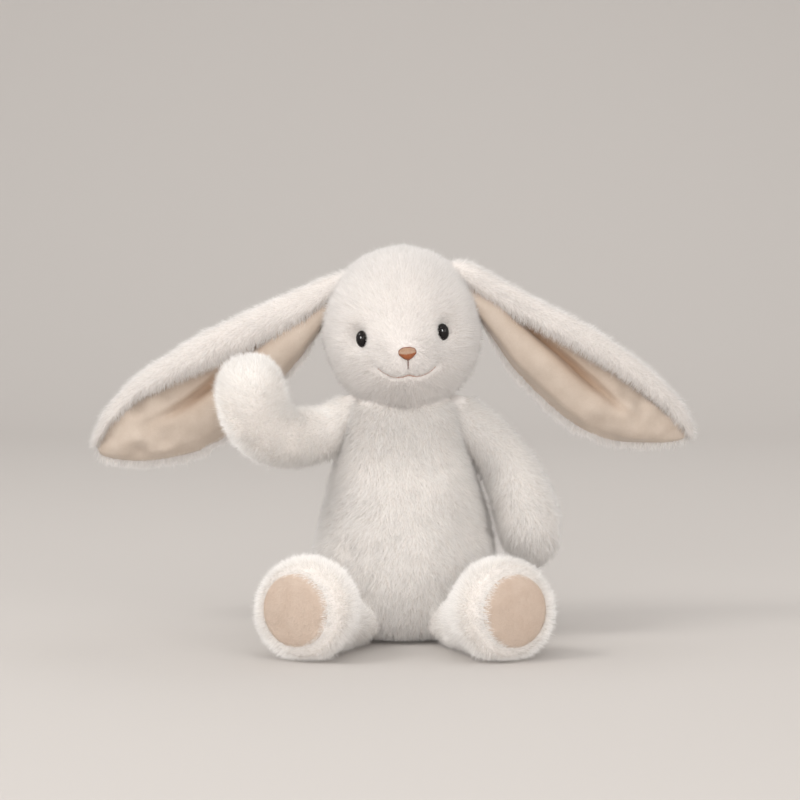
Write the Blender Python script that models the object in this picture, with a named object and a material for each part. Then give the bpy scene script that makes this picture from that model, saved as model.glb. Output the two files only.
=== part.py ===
"""Stuffed bunny rabbit, sitting, one arm raised. Metres, +Z up, facing -Y.

Left and right are the rabbit's own sides: its right side is at -X.
Dimensions below are in millimetres.
"""
import math

import bmesh
import bpy
from mathutils import Matrix, Vector

MM = 0.001

# ---------------------------------------------------------------- dimensions
WALL = 5.0            # plush cover: backing and pile together
GAP = 0.45            # cover to stuffing
FIT = 0.4             # ball root to its dimple
SEG_BODY = 22
SEG_LIMB = 16

# torso: height, half width, half depth
TORSO = [(0.0, 31.0, 29.0), (2.5, 41.0, 39.0), (9.0, 48.5, 46.5), (19.0, 53.0, 50.5),
         (32.0, 54.8, 52.0), (46.0, 54.2, 51.2), (62.0, 51.6, 48.8), (78.0, 48.2, 46.0),
         (93.0, 43.8, 42.5), (106.0, 39.4, 39.2), (118.0, 35.2, 36.0), (128.0, 32.4, 33.2),
         (134.5, 30.2, 31.0), (137.6, 27.0, 28.0), (138.8, 22.0, 23.0), (139.2, 11.5, 11.5), (145.0, 10.0, 10.0)]
NECK_HOLE = 6.5
BEAN_TOP = 29.0

# head: centre, roll about Y (its left side higher), half sizes
HEAD_C = (-1.2, -2.0, 184.0)
HEAD_ROLL = 5.0
HEAD_X = 46.0
HEAD_FRONT = 43.0
HEAD_BACK = 42.0
HEAD_UP = 48.5
HEAD_DOWN = 45.0
MUZZLE_DIR = (0.03, -0.945, -0.325)
MUZZLE = 8.0
MUZZLE_SPREAD = 0.42
CHEEK = 2.0
JAW_DIR = (0.02, -0.66, -0.75)
JAW = 6.0
JAW_SPREAD = 0.42
JAW_WIDE = 0.62       # the jaw is wider than it is deep
NECK_OPENING = 16.5

# eyes, in the head's own frame
EYE_X = 25.9
EYE_Z = -2.6
EYE_W = 3.8
EYE_H = 5.1
EYE_DOME = 4.0
SHANK_R = 1.5
SHANK_L = 7.6
WASHER_R = 4.4
WASHER_T = 1.2

# nose and threads, in the head's own frame: x, z
NOSE_AT = (2.0, -12.1)
NOSE_W = 5.1
NOSE_H = 3.6
NOSE_T = 2.3
THREAD_R = 0.75
SMILE = [(-16.6, -21.4), (-12.9, -24.2), (-8.0, -26.8), (-2.6, -27.4), (1.6, -26.5),
         (6.0, -27.7), (11.2, -27.1), (15.2, -25.5), (18.4, -23.1)]
PHILTRUM = [(2.0, -17.3), (1.9, -19.1), (1.8, -21.0), (1.7, -22.9)]

# ears: (fold x, z), (free edge x, z), back wall y, fold depth, lip length
EAR_RIGHT = [((-46.8, 194.6), (-47.3, 193.0), 8.0, 5.0, 1.2),
             ((-48.5, 200.0), (-49.5, 189.0), 8.0, 7.0, 5.0),
             ((-54.5, 203.2), (-53.5, 186.9), 9.0, 9.0, 9.0),
             ((-66.0, 203.5), (-58.0, 173.0), 11.0, 12.0, 14.0),
             ((-90.0, 193.0), (-73.0, 149.0), 15.0, 14.0, 16.5),
             ((-116.0, 180.5), (-93.0, 125.5), 19.0, 14.0, 16.5),
             ((-141.0, 166.0), (-117.0, 108.5), 23.0, 13.0, 13.0),
             ((-162.0, 149.5), (-142.0, 101.5), 28.0, 11.0, 9.0),
             ((-177.0, 131.5), (-164.0, 100.5), 33.0, 8.0, 6.0),
             ((-185.0, 117.0), (-180.0, 104.5), 37.0, 6.0, 5.0),
             ((-187.5, 109.5), (-186.5, 107.0), 38.0, 4.6, 1.6)]
EAR_LEFT = [((41.8, 203.2), (42.2, 201.4), 8.0, 5.0, 1.2),
            ((43.6, 208.5), (44.4, 197.6), 8.0, 7.0, 5.0),
            ((49.3, 211.6), (48.2, 195.4), 9.0, 9.0, 9.0),
            ((60.0, 209.5), (53.0, 180.0), 11.0, 12.0, 12.0),
            ((84.0, 197.0), (63.0, 158.5), 14.0, 13.0, 12.0),
            ((110.0, 183.0), (79.0, 141.0), 17.0, 13.0, 11.5),
            ((136.0, 165.5), (98.0, 125.5), 20.0, 12.0, 9.5),
            ((157.0, 147.5), (119.0, 114.5), 24.0, 10.0, 7.5),
            ((169.5, 133.0), (145.0, 112.0), 28.0, 8.0, 5.5),
            ((174.5, 123.5), (164.0, 113.5), 31.0, 6.0, 4.5),
            ((175.5, 118.5), (173.8, 116.6), 32.0, 4.6, 1.4)]
EAR_T = 3.2           # plush ear panel
LINING_T = 1.2
LINING_GAP = 0.8
EAR_BULGE = 4.0

# limbs: centreline, then (distance along it, radius)
ARM_LEFT_BALL = 15.6
ARM_RIGHT_BALL = 17.6
ARM_LEFT_LINE = [(48.5, -2.5, 117.5), (61.5, -5.0, 102.0), (69.0, -7.0, 86.0),
                 (74.5, -8.0, 65.0), (80.0, -9.0, 43.0)]
ARM_LEFT_R = [(10, 15.3), (21, 16.0), (35, 17.4), (49, 18.6), (61, 18.7), (70, 16.6), (77, 12.0), (81.5, 6.2)]
ARM_LEFT_TIP = 83.0
ARM_RIGHT_LINE = [(-46.0, -6.0, 126.0), (-57.5, -9.5, 123.0), (-69.0, -16.5, 119.6),
                  (-79.5, -25.0, 124.6), (-87.0, -32.5, 136.0), (-89.5, -37.5, 150.0), (-89.5, -40.0, 173.0)]
ARM_RIGHT_R = [(10, 16.5), (20, 16.6), (31, 17.8), (42, 18.8), (54, 19.9), (66, 20.3), (77, 18.4),
               (86, 13.2), (91.2, 6.8)]
ARM_RIGHT_TIP = 93.4
ARM_HOLE = 7.0

LEG_BALL = 16.0
LEG_LINE = [(33.0, -56.5, 17.0), (42.5, -71.0, 21.5), (52.0, -86.0, 27.0), (59.0, -97.5, 29.0), (63.0, -104.5, 29.5)]
LEG_R = [(9, 15.8), (18, 18.2), (27, 23.4), (35, 27.0), (43, 28.6), (50, 27.8), (55, 25.2), (57.8, 21.6)]
LEG_HOLE = 7.0
PAD_R = 19.6
PAD_BACK = 53.9
PAD_EDGE = 57.2
PAD_TOP = 59.4

TAIL_C = (0.0, 65.0, 33.0)
TAIL_R = 17.5

# seams that swing: the arms and legs turn about the centres of their ball roots
HEAD_PIVOT = (0.0, 0.0, 184.0)
EAR_LEFT_PIVOT = (50.0, 6.0, 203.5)
EAR_RIGHT_PIVOT = (-55.0, 6.0, 195.0)

COLOURS = {
    "plush_white": ((0.90, 0.88, 0.85, 1.0), 0.9),
    "ear_plush": ((0.90, 0.87, 0.84, 1.0), 0.9),
    "lining_cream": ((0.80, 0.66, 0.52, 1.0), 0.8),
    "pad_beige": ((0.74, 0.60, 0.48, 1.0), 0.8),
    "eye_black": ((0.01, 0.01, 0.011, 1.0), 0.08),
    "washer_clear": ((0.75, 0.75, 0.74, 1.0), 0.5),
    "nose_thread": ((0.49, 0.19, 0.09, 1.0), 0.5),
    "mouth_thread": ((0.42, 0.20, 0.15, 1.0), 0.6),
    "stuffing_fibre": ((0.86, 0.86, 0.85, 1.0), 0.95),
    "pellet_pouch": ((0.70, 0.70, 0.68, 1.0), 0.9),
}

for ob in list(bpy.data.objects):
    bpy.data.objects.remove(ob, do_unlink=True)


# ------------------------------------------------------------------- helpers
def material(slot, name):
    colour, rough = COLOURS[slot]
    mat = bpy.data.materials.new(name)
    mat.use_nodes = True
    bsdf = mat.node_tree.nodes["Principled BSDF"]
    bsdf.inputs["Base Color"].default_value = colour
    bsdf.inputs["Roughness"].default_value = rough
    mat.diffuse_color = colour
    return mat


def solid(name, verts, faces, slot, cutter=False):
    mesh = bpy.data.meshes.new(name)
    mesh.from_pydata([Vector(v) * MM for v in verts], [], faces)
    bm = bmesh.new()
    bm.from_mesh(mesh)
    bmesh.ops.remove_doubles(bm, verts=bm.verts, dist=1e-7)
    bmesh.ops.recalc_face_normals(bm, faces=bm.faces)
    bm.to_mesh(mesh)
    bm.free()
    obj = bpy.data.objects.new(name, mesh)
    bpy.context.scene.collection.objects.link(obj)
    if cutter:
        obj.hide_render = True
        obj.display_type = 'WIRE'
    else:
        mesh.shade_smooth()
        mesh.set_sharp_from_angle(angle=math.radians(55.0))
        mesh.materials.append(material(slot, name))
    return obj


def cut(obj, cutter):
    mod = obj.modifiers.new("cut", 'BOOLEAN')
    mod.operation = 'DIFFERENCE'
    mod.solver = 'EXACT'
    mod.object = cutter


class Skin:
    """Collects rings of points and the faces between them."""

    def __init__(self):
        self.verts = []
        self.faces = []

    def ring(self, pts):
        start = len(self.verts)
        self.verts.extend(tuple(p) for p in pts)
        return list(range(start, start + len(pts)))

    def bridge(self, a, b):
        n = len(a)
        for i in range(n):
            j = (i + 1) % n
            self.faces.append((a[i], a[j], b[j], b[i]))

    def fan(self, ring, pole):
        self.verts.append(tuple(pole))
        k = len(self.verts) - 1
        n = len(ring)
        for i in range(n):
            self.faces.append((ring[i], ring[(i + 1) % n], k))

    def stack(self, rings):
        ids = [self.ring(r) for r in rings]
        for a, b in zip(ids, ids[1:]):
            self.bridge(a, b)
        return ids


def ellipse(cx, cy, z, rx, ry, n=SEG_BODY):
    return [(cx + rx * math.cos(2 * math.pi * i / n), cy + ry * math.sin(2 * math.pi * i / n), z) for i in range(n)]


def ball(name, centre, radius, n=18, m=10):
    s = Skin()
    c = Vector(centre)
    rings = []
    for j in range(1, m):
        t = math.pi * j / m
        rings.append([c + radius * Vector((math.sin(t) * math.cos(2 * math.pi * i / n),
                                           math.sin(t) * math.sin(2 * math.pi * i / n), -math.cos(t)))
                      for i in range(n)])
    ids = s.stack(rings)
    s.fan(ids[0], c - Vector((0, 0, radius)))
    s.fan(ids[-1], c + Vector((0, 0, radius)))
    return solid(name, s.verts, s.faces, None, cutter=True)


def rod(name, base, axis, side, length, rx, ry, n=18):
    """Straight elliptic rod used as a cutter."""
    s = Skin()
    b, a = Vector(base), Vector(axis).normalized()
    u = (Vector(side) - a * Vector(side).dot(a)).normalized()
    v = a.cross(u)
    rings = []
    for d in (0.0, length):
        rings.append([b + a * d + u * (rx * math.cos(2 * math.pi * i / n)) + v * (ry * math.sin(2 * math.pi * i / n))
                      for i in range(n)])
    ids = s.stack(rings)
    s.fan(ids[0], b)
    s.fan(ids[1], b + a * length)
    return solid(name, s.verts, s.faces, None, cutter=True)


# --------------------------------------------------------------------- torso
def torso_at(z):
    for (z0, x0, y0), (z1, x1, y1) in zip(TORSO, TORSO[1:]):
        if z0 <= z <= z1:
            k = (z - z0) / (z1 - z0)
            return x0 + (x1 - x0) * k, y0 + (y1 - y0) * k
    return TORSO[-1][1:]


def torso_inside(inset, z0, z1):
    """Rings of the space inside the cover, between two heights."""
    zs = [z for z, _, _ in TORSO if z0 + 2.0 < z < z1 - 2.0]
    out = []
    for z in [z0] + zs + [z1]:
        rx, ry = torso_at(z)
        out.append((z, rx - inset, ry - inset))
    return out


s = Skin()
outer = s.stack([ellipse(0, 0, z, rx, ry) for z, rx, ry in TORSO])
s.fan(outer[0], (0, 0, 0))
inside = [(WALL, 33.0, 31.0)] + [(z, rx - WALL, ry - WALL) for z, rx, ry in TORSO if 8.0 < z < 129.0]
inside += [(131.5, 22.0, 23.0), (133.6, NECK_HOLE + 6.0, NECK_HOLE + 6.0), (134.2, NECK_HOLE, NECK_HOLE),
           (145.0, NECK_HOLE, NECK_HOLE)]
inner = s.stack([ellipse(0, 0, z, rx, ry) for z, rx, ry in inside])
s.fan(inner[0], (0, 0, WALL))
s.bridge(outer[-1], inner[-1])
torso = solid("torso_cover", s.verts, s.faces, "plush_white")

for name, c, r in (("cut_arm_left", ARM_LEFT_LINE[0], ARM_LEFT_BALL),
                   ("cut_arm_right", ARM_RIGHT_LINE[0], ARM_RIGHT_BALL),
                   ("cut_leg_left", LEG_LINE[0], LEG_BALL),
                   ("cut_leg_right", (-LEG_LINE[0][0],) + LEG_LINE[0][1:], LEG_BALL),
                   ("cut_tail", TAIL_C, TAIL_R)):
    cut(torso, ball(name, c, (r + FIT) * 1.025))

s = Skin()
bean = [(WALL + GAP, 32.0, 30.0)] + [(z, rx - WALL - GAP, ry - WALL - GAP) for z, rx, ry in TORSO if 8.0 < z < 22.0]
rx, ry = torso_at(BEAN_TOP)
bean += [(BEAN_TOP, rx - WALL - GAP - 2.0, ry - WALL - GAP - 2.0)]
ids = s.stack([ellipse(0, 0, z, a, b) for z, a, b in bean])
s.fan(ids[0], (0, 0, WALL + GAP))
s.fan(ids[-1], (0, 0, BEAN_TOP + 2.0))
solid("bean_bag", s.verts, s.faces, "pellet_pouch")

s = Skin()
fill = torso_inside(WALL + GAP, BEAN_TOP + 3.0, 126.0)
fill[0] = (fill[0][0], fill[0][1] - 1.0, fill[0][2] - 1.0)
fill += [(130.6, 20.5, 21.5)]
ids = s.stack([ellipse(0, 0, z, a, b) for z, a, b in fill])
s.fan(ids[0], (0, 0, fill[0][0]))
s.fan(ids[-1], (0, 0, 131.4))
solid("torso_stuffing", s.verts, s.faces, "stuffing_fibre")


# ---------------------------------------------------------------------- head
ROLL = math.radians(HEAD_ROLL)


def head_world(p):
    x, y, z = p
    c, k = math.cos(ROLL), math.sin(ROLL)
    return Vector((HEAD_C[0] + x * c - z * k, HEAD_C[1] + y, HEAD_C[2] + z * c + x * k))


def head_dir(v):
    c, k = math.cos(ROLL), math.sin(ROLL)
    return Vector((v[0] * c - v[2] * k, v[1], v[2] * c + v[0] * k))


def head_radius(d):
    d = Vector(d).normalized()
    ay = HEAD_FRONT if d.y < 0 else HEAD_BACK
    az = HEAD_UP if d.z > 0 else HEAD_DOWN
    r = 1.0 / math.sqrt((d.x / HEAD_X) ** 2 + (d.y / ay) ** 2 + (d.z / az) ** 2)
    a = d.angle(Vector(MUZZLE_DIR).normalized())
    r += MUZZLE * math.exp(-(a / MUZZLE_SPREAD) ** 2)
    for sx in (-1, 1):
        a = d.angle(Vector((sx * 0.72, -0.50, -0.42)).normalized())
        r += CHEEK * math.exp(-(a / 0.45) ** 2)
    a = Vector((d.x * JAW_WIDE, d.y, d.z)).angle(Vector(JAW_DIR))
    r += JAW * math.exp(-(a / JAW_SPREAD) ** 2)
    return r


def head_front(x, z, lift=0.0):
    """Point on the front of the head at x, z of its own frame."""
    y = -HEAD_FRONT
    for _ in range(40):
        d = Vector((x, y, z))
        y = y * (1 + 0.7 * (head_radius(d) / d.length - 1))
    d = Vector((x, y, z))
    return d + d.normalized() * lift


def head_rings(inset, opening, n=26):
    t0 = 0.30
    for _ in range(30):
        r = head_radius((math.sin(t0), 0, -math.cos(t0))) - inset
        t0 = math.asin(min(0.9, opening / r))
    rings = []
    m = 16
    for j in range(m):
        t = t0 + (math.pi - 0.17 - t0) * (j / (m - 1))
        ring = []
        for i in range(n):
            a = 2 * math.pi * (i + 0.5) / n
            d = Vector((math.sin(t) * math.cos(a), math.sin(t) * math.sin(a), -math.cos(t)))
            ring.append(head_world(d * (head_radius(d) - inset)))
        rings.append(ring)
    return rings


s = Skin()
outer = s.stack(head_rings(0.0, NECK_OPENING))
s.fan(outer[-1], head_world((0, 0, HEAD_UP)))
inner = s.stack(head_rings(WALL, NECK_OPENING - 2.0))
s.fan(inner[-1], head_world((0, 0, HEAD_UP - WALL)))
s.bridge(outer[0], inner[0])
head = solid("head_cover", s.verts, s.faces, "plush_white")

s = Skin()
ids = s.stack(head_rings(WALL + GAP, NECK_OPENING - 3.0))
s.fan(ids[0], (ids and (sum(s.verts[k][0] for k in ids[0]) / len(ids[0]), sum(s.verts[k][1] for k in ids[0]) / len(ids[0]),
                        sum(s.verts[k][2] for k in ids[0]) / len(ids[0]) + 2.0)))
s.fan(ids[-1], head_world((0, 0, HEAD_UP - WALL - GAP)))
head_fill = solid("head_stuffing", s.verts, s.faces, "stuffing_fibre")

for side, sx in (("left", 1), ("right", -1)):
    at = head_front(sx * EYE_X, EYE_Z)
    nrm = Vector((sx * 0.60, -0.80, 0.02)).normalized()
    up = Vector((0, 0, 1))
    base = head_world(at)
    n_w, up_w = head_dir(nrm), head_dir(up)
    side_w = up_w.cross(n_w).normalized()
    floor = base - n_w * 1.4
    cut(head, rod("cut_socket_" + side, floor, n_w, side_w, 12.0, EYE_W + 0.5, EYE_H + 0.5))
    cut(head, rod("cut_shank_" + side, floor - n_w * 9.0, n_w, side_w, 12.0, SHANK_R + 0.35, SHANK_R + 0.35, 12))
    cut(head_fill, rod("cut_washer_" + side, floor - n_w * 10.5, n_w, side_w, 14.0, WASHER_R + 1.2, WASHER_R + 1.2, 14))
    s = Skin()
    rows = []
    for d, k in ((-SHANK_L, None), (-0.01, None)):
        rows.append([floor + n_w * d + side_w * (SHANK_R * math.cos(2 * math.pi * i / 18)) +
                     up_w * (SHANK_R * math.sin(2 * math.pi * i / 18)) for i in range(18)])
    for t in (0.0, 20.0, 40.0, 60.0, 76.0):
        c, q = math.cos(math.radians(t)), math.sin(math.radians(t))
        rows.append([floor + n_w * (0.35 + EYE_DOME * q) + side_w * (EYE_W * c * math.cos(2 * math.pi * i / 18)) +
                     up_w * (EYE_H * c * math.sin(2 * math.pi * i / 18)) for i in range(18)])
    rows[1] = [p + n_w * 0.35 for p in rows[1]]
    ids = s.stack(rows)
    s.fan(ids[0], floor - n_w * SHANK_L)
    s.fan(ids[-1], floor + n_w * (0.35 + EYE_DOME))
    solid("eye_" + side, s.verts, s.faces, "eye_black")

    s = Skin()
    top = floor - n_w * 4.9
    ring = lambda d, r: [top - n_w * d + side_w * (r * math.cos(2 * math.pi * i / 16)) +
                         up_w * (r * math.sin(2 * math.pi * i / 16)) for i in range(16)]
    ids = s.stack([ring(0, WASHER_R), ring(WASHER_T, WASHER_R), ring(WASHER_T, SHANK_R + 0.3), ring(0, SHANK_R + 0.3)])
    s.bridge(ids[-1], ids[0])
    solid("eye_washer_" + side, s.verts, s.faces, "washer_clear")

# nose: rounded, wide at the top, on the muzzle
outline = []
for i in range(20):
    a = 2 * math.pi * i / 20
    cx, cz = math.cos(a), math.sin(a)
    wide = 1.0 if cz > 0 else 1.0 - 0.55 * abs(cz) ** 1.3
    px = NOSE_W * math.copysign(abs(cx) ** 0.8, cx) * wide
    pz = NOSE_H * (0.85 * math.copysign(abs(cz) ** 0.85, cz) if cz > 0 else 1.12 * cz)
    outline.append((px, pz))
s = Skin()
rows = []
for scale, lift in ((1.0, 0.45), (1.0, 0.45 + 0.55 * NOSE_T), (0.80, 0.45 + 0.88 * NOSE_T), (0.42, 0.45 + NOSE_T)):
    rows.append([head_world(head_front(NOSE_AT[0] + px * scale, NOSE_AT[1] + pz * scale, lift)) for px, pz in outline])
ids = s.stack(rows)
s.fan(ids[0], head_world(head_front(NOSE_AT[0], NOSE_AT[1], 0.45)))
s.fan(ids[-1], head_world(head_front(NOSE_AT[0], NOSE_AT[1], 0.45 + NOSE_T * 1.02)))
solid("nose", s.verts, s.faces, "nose_thread")


def thread(name, pts, radius, slot, n=8):
    path = [head_world(head_front(x, z, radius + 0.4)) for x, z in pts]
    s = Skin()
    rings = []
    for i, p in enumerate(path):
        t = (path[min(i + 1, len(path) - 1)] - path[max(i - 1, 0)]).normalized()
        u = t.cross(Vector((0, -1, 0))).normalized()
        v = u.cross(t).normalized()
        rings.append([p + u * (radius * math.cos(2 * math.pi * k / n)) + v * (radius * math.sin(2 * math.pi * k / n))
                      for k in range(n)])
    ids = s.stack(rings)
    s.fan(ids[0], path[0] + (path[0] - path[1]).normalized() * radius * 0.6)
    s.fan(ids[-1], path[-1] + (path[-1] - path[-2]).normalized() * radius * 0.6)
    return solid(name, s.verts, s.faces, slot)


thread("mouth_stitch", SMILE, THREAD_R, "mouth_thread")
thread("philtrum_stitch", PHILTRUM, THREAD_R * 0.9, "mouth_thread")


# ---------------------------------------------------------------------- ears
def ear_section(station):
    """Middle line of the folded panel: list of (down, forward) and the frame."""
    (tx, tz), (bx, bz), y, depth, lip = station
    top = Vector((tx, y, tz))
    down = Vector((bx - tx, 0.0, bz - tz))
    width = down.length
    down.normalize()
    r = min(depth / 2.0, width * 0.42)
    lip = max(r + 0.4, min(lip, width * 0.8))
    pts = [(lip, 2 * r - 0.8), ((lip + r) / 2, 2 * r + 0.2), (r, 2 * r)]
    for a in (45.0, 90.0, 135.0):
        pts.append((r - r * math.sin(math.radians(a)), r + r * math.cos(math.radians(a))))
    n = 6
    for k in range(n + 1):
        t = k / n
        p = r + (max(width, r + 0.6) - r) * t
        pts.append((p, EAR_BULGE * min(1.0, width / 50.0) * math.sin(math.pi * t)))
    return top, down, pts


def offset_line(pts, d):
    out = []
    for i, (p, q) in enumerate(pts):
        a, b = pts[max(i - 1, 0)], pts[min(i + 1, len(pts) - 1)]
        tx, ty = b[0] - a[0], b[1] - a[1]
        m = math.hypot(tx, ty) or 1.0
        out.append((p - ty / m * d, q + tx / m * d))
    return out


def sheet(name, rows_a, rows_b, slot):
    """Closed solid between two grids of points."""
    s = Skin()
    a = [s.ring(r) for r in rows_a]
    b = [s.ring(r) for r in rows_b]
    m, n = len(a), len(a[0])
    for i in range(m - 1):
        for j in range(n - 1):
            s.faces.append((a[i][j], a[i][j + 1], a[i + 1][j + 1], a[i + 1][j]))
            s.faces.append((b[i][j], b[i + 1][j], b[i + 1][j + 1], b[i][j + 1]))
    for i in range(m - 1):
        s.faces.append((a[i][0], a[i + 1][0], b[i + 1][0], b[i][0]))
        s.faces.append((a[i][n - 1], b[i][n - 1], b[i + 1][n - 1], a[i + 1][n - 1]))
    for j in range(n - 1):
        s.faces.append((a[0][j], b[0][j], b[0][j + 1], a[0][j + 1]))
        s.faces.append((a[m - 1][j], a[m - 1][j + 1], b[m - 1][j + 1], b[m - 1][j]))
    return solid(name, s.verts, s.faces, slot)


FORWARD = Vector((0, -1, 0))
for side, stations in (("left", EAR_LEFT), ("right", EAR_RIGHT)):
    front, back, lin_a, lin_b = [], [], [], []
    for k, st in enumerate(stations):
        top, down, pts = ear_section(st)
        half = EAR_T / 2 * (0.6 if k in (0, len(stations) - 1) else 1.0)
        place = lambda line: [top + down * p + FORWARD * q for p, q in line]
        front.append(place(offset_line(pts, half)))
        back.append(place(offset_line(pts, -half)))
        if 2 <= k <= len(stations) - 2:
            wall = pts[6:-1] + [(pts[-1][0] - 2.5, pts[-1][1] + 0.3)]
            wall[0] = (wall[0][0] + min(1.5, 0.1 * wall[-1][0]), wall[0][1] + 0.4)
            lin_a.append(place([(p, q + EAR_T / 2 + LINING_GAP + LINING_T) for p, q in wall]))
            lin_b.append(place([(p, q + EAR_T / 2 + LINING_GAP) for p, q in wall]))
    sheet("ear_%s_outer" % side, front, back, "ear_plush")
    sheet("ear_%s_lining" % side, lin_a, lin_b, "lining_cream")


# --------------------------------------------------------------------- limbs
class Line:
    """Smooth centreline with frames carried along it."""

    def __init__(self, pts, step=1.0):
        p = [Vector(v) for v in pts]
        p = [p[0] * 2 - p[1]] + p + [p[-1] * 2 - p[-2]]
        dense = []
        for i in range(1, len(p) - 2):
            for k in range(24):
                t = k / 24.0
                dense.append(0.5 * ((2 * p[i]) + (p[i + 1] - p[i - 1]) * t +
                                    (2 * p[i - 1] - 5 * p[i] + 4 * p[i + 1] - p[i + 2]) * t * t +
                                    (3 * p[i] - p[i - 1] - 3 * p[i + 1] + p[i + 2]) * t ** 3))
        dense.append(p[-2])
        self.pts = dense
        self.len = [0.0]
        for a, b in zip(dense, dense[1:]):
            self.len.append(self.len[-1] + (b - a).length)
        self.frames = []
        t = (dense[1] - dense[0]).normalized()
        u = t.cross(Vector((0, 0, 1)) if abs(t.z) < 0.9 else Vector((0, 1, 0))).normalized()
        for i in range(len(dense)):
            t2 = (dense[min(i + 1, len(dense) - 1)] - dense[max(i - 1, 0)]).normalized()
            u = (u - t2 * u.dot(t2)).normalized()
            self.frames.append((t2, u, t2.cross(u)))

    def at(self, s):
        if s <= 0:
            return self.pts[0] + self.frames[0][0] * s, self.frames[0]
        if s >= self.len[-1]:
            return self.pts[-1] + self.frames[-1][0] * (s - self.len[-1]), self.frames[-1]
        for i in range(len(self.len) - 1):
            if self.len[i] <= s <= self.len[i + 1]:
                k = (s - self.len[i]) / (self.len[i + 1] - self.len[i])
                t, u, _ = self.frames[i]
                t2, u2, _ = self.frames[i + 1]
                t = t.lerp(t2, k).normalized()
                u = u.lerp(u2, k)
                u = (u - t * u.dot(t)).normalized()
                return self.pts[i].lerp(self.pts[i + 1], k), (t, u, t.cross(u))

    def ring(self, s, r, low=None, n=SEG_LIMB):
        c, (t, u, v) = self.at(s)
        out = []
        for i in range(n):
            a = 2 * math.pi * (i + 0.5) / n
            q = c + u * (r * math.cos(a)) + v * (r * math.sin(a))
            if low is not None and q.z < low:
                q.z = low
            out.append(q)
        return out


def root_rows(radius, hole):
    rows = []
    a0 = math.asin(hole / radius)
    for k in range(4):
        a = a0 + (math.pi / 2 - a0) * k / 4.0
        rows.append((-radius * math.cos(a), radius * math.sin(a)))
    rows.append((0.0, radius))
    return rows


def arm(side, pts, ball_r, radii, tip):
    line = Line(pts)
    rows = root_rows(ball_r, ARM_HOLE) + radii
    s = Skin()
    outer = s.stack([line.ring(d, r) for d, r in rows])
    s.fan(outer[-1], line.at(tip)[0])
    inn = root_rows(ball_r - WALL, ARM_HOLE) + [(d, r - WALL) for d, r in radii if d < tip - 8.0]
    last = inn[-1]
    inn.append((tip - WALL - 2.2, last[1] * 0.55))
    inner = s.stack([line.ring(d, r) for d, r in inn])
    s.fan(inner[-1], line.at(tip - WALL)[0])
    s.bridge(outer[0], inner[0])
    solid("arm_%s_cover" % side, s.verts, s.faces, "plush_white")
    s = Skin()
    ids = s.stack([line.ring(d, r - GAP) for d, r in inn[1:]])
    s.fan(ids[0], line.at(inn[1][0])[0])
    s.fan(ids[-1], line.at(tip - WALL - GAP)[0])
    solid("arm_%s_stuffing" % side, s.verts, s.faces, "stuffing_fibre")


arm("left", ARM_LEFT_LINE, ARM_LEFT_BALL, ARM_LEFT_R, ARM_LEFT_TIP)
arm("right", ARM_RIGHT_LINE, ARM_RIGHT_BALL, ARM_RIGHT_R, ARM_RIGHT_TIP)

for side, sx in (("left", 1), ("right", -1)):
    line = Line([(sx * x, y, z) for x, y, z in LEG_LINE])
    rows = root_rows(LEG_BALL, LEG_HOLE) + LEG_R
    s = Skin()
    outer = s.stack([line.ring(d, r, 0.0) for d, r in rows])
    inn = root_rows(LEG_BALL - WALL, LEG_HOLE) + [(d, r - WALL) for d, r in LEG_R if d < 46.0]
    inn += [(PAD_BACK - 0.8, PAD_R + 0.5), (LEG_R[-1][0] - 0.3, PAD_R + 0.5)]
    inner = s.stack([line.ring(d, r, WALL) for d, r in inn])
    s.bridge(outer[0], inner[0])
    s.bridge(outer[-1], inner[-1])
    solid("leg_%s_cover" % side, s.verts, s.faces, "plush_white")
    s = Skin()
    fill = [(d, r - GAP) for d, r in inn[1:-2]] + [(PAD_BACK - 0.9, PAD_R - 0.2)]
    ids = s.stack([line.ring(d, r, WALL + GAP) for d, r in fill])
    s.fan(ids[0], line.at(fill[0][0])[0])
    s.fan(ids[-1], line.at(fill[-1][0])[0])
    solid("leg_%s_stuffing" % side, s.verts, s.faces, "stuffing_fibre")
    s = Skin()
    ids = s.stack([line.ring(d, r) for d, r in ((PAD_BACK, PAD_R), (PAD_EDGE, PAD_R), (PAD_EDGE + 1.2, PAD_R - 2.2),
                                                (PAD_TOP - 0.4, PAD_R * 0.5))])
    s.fan(ids[0], line.at(PAD_BACK)[0])
    s.fan(ids[-1], line.at(PAD_TOP)[0])
    solid("foot_pad_%s" % side, s.verts, s.faces, "pad_beige")

# ---------------------------------------------------------------------- tail
tail_line = Line([TAIL_C, (TAIL_C[0], TAIL_C[1] + TAIL_R * 0.5, TAIL_C[2]), (TAIL_C[0], TAIL_C[1] + TAIL_R, TAIL_C[2])])


def dome_rows(radius):
    return [(radius * math.sin(math.radians(a)), radius * math.cos(math.radians(a))) for a in (22, 44, 64, 80)]


s = Skin()
outer = s.stack([tail_line.ring(d, r) for d, r in root_rows(TAIL_R, ARM_HOLE) + dome_rows(TAIL_R)])
s.fan(outer[-1], tail_line.at(TAIL_R)[0])
inner = s.stack([tail_line.ring(d, r) for d, r in root_rows(TAIL_R - WALL, ARM_HOLE) + dome_rows(TAIL_R - WALL)])
s.fan(inner[-1], tail_line.at(TAIL_R - WALL)[0])
s.bridge(outer[0], inner[0])
solid("tail_cover", s.verts, s.faces, "plush_white")
s = Skin()
rows = root_rows(TAIL_R - WALL, ARM_HOLE)[1:] + dome_rows(TAIL_R - WALL)
ids = s.stack([tail_line.ring(d, r - GAP) for d, r in rows])
s.fan(ids[0], tail_line.at(rows[0][0])[0])
s.fan(ids[-1], tail_line.at(TAIL_R - WALL - GAP)[0])
solid("tail_stuffing", s.verts, s.faces, "stuffing_fibre")


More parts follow.
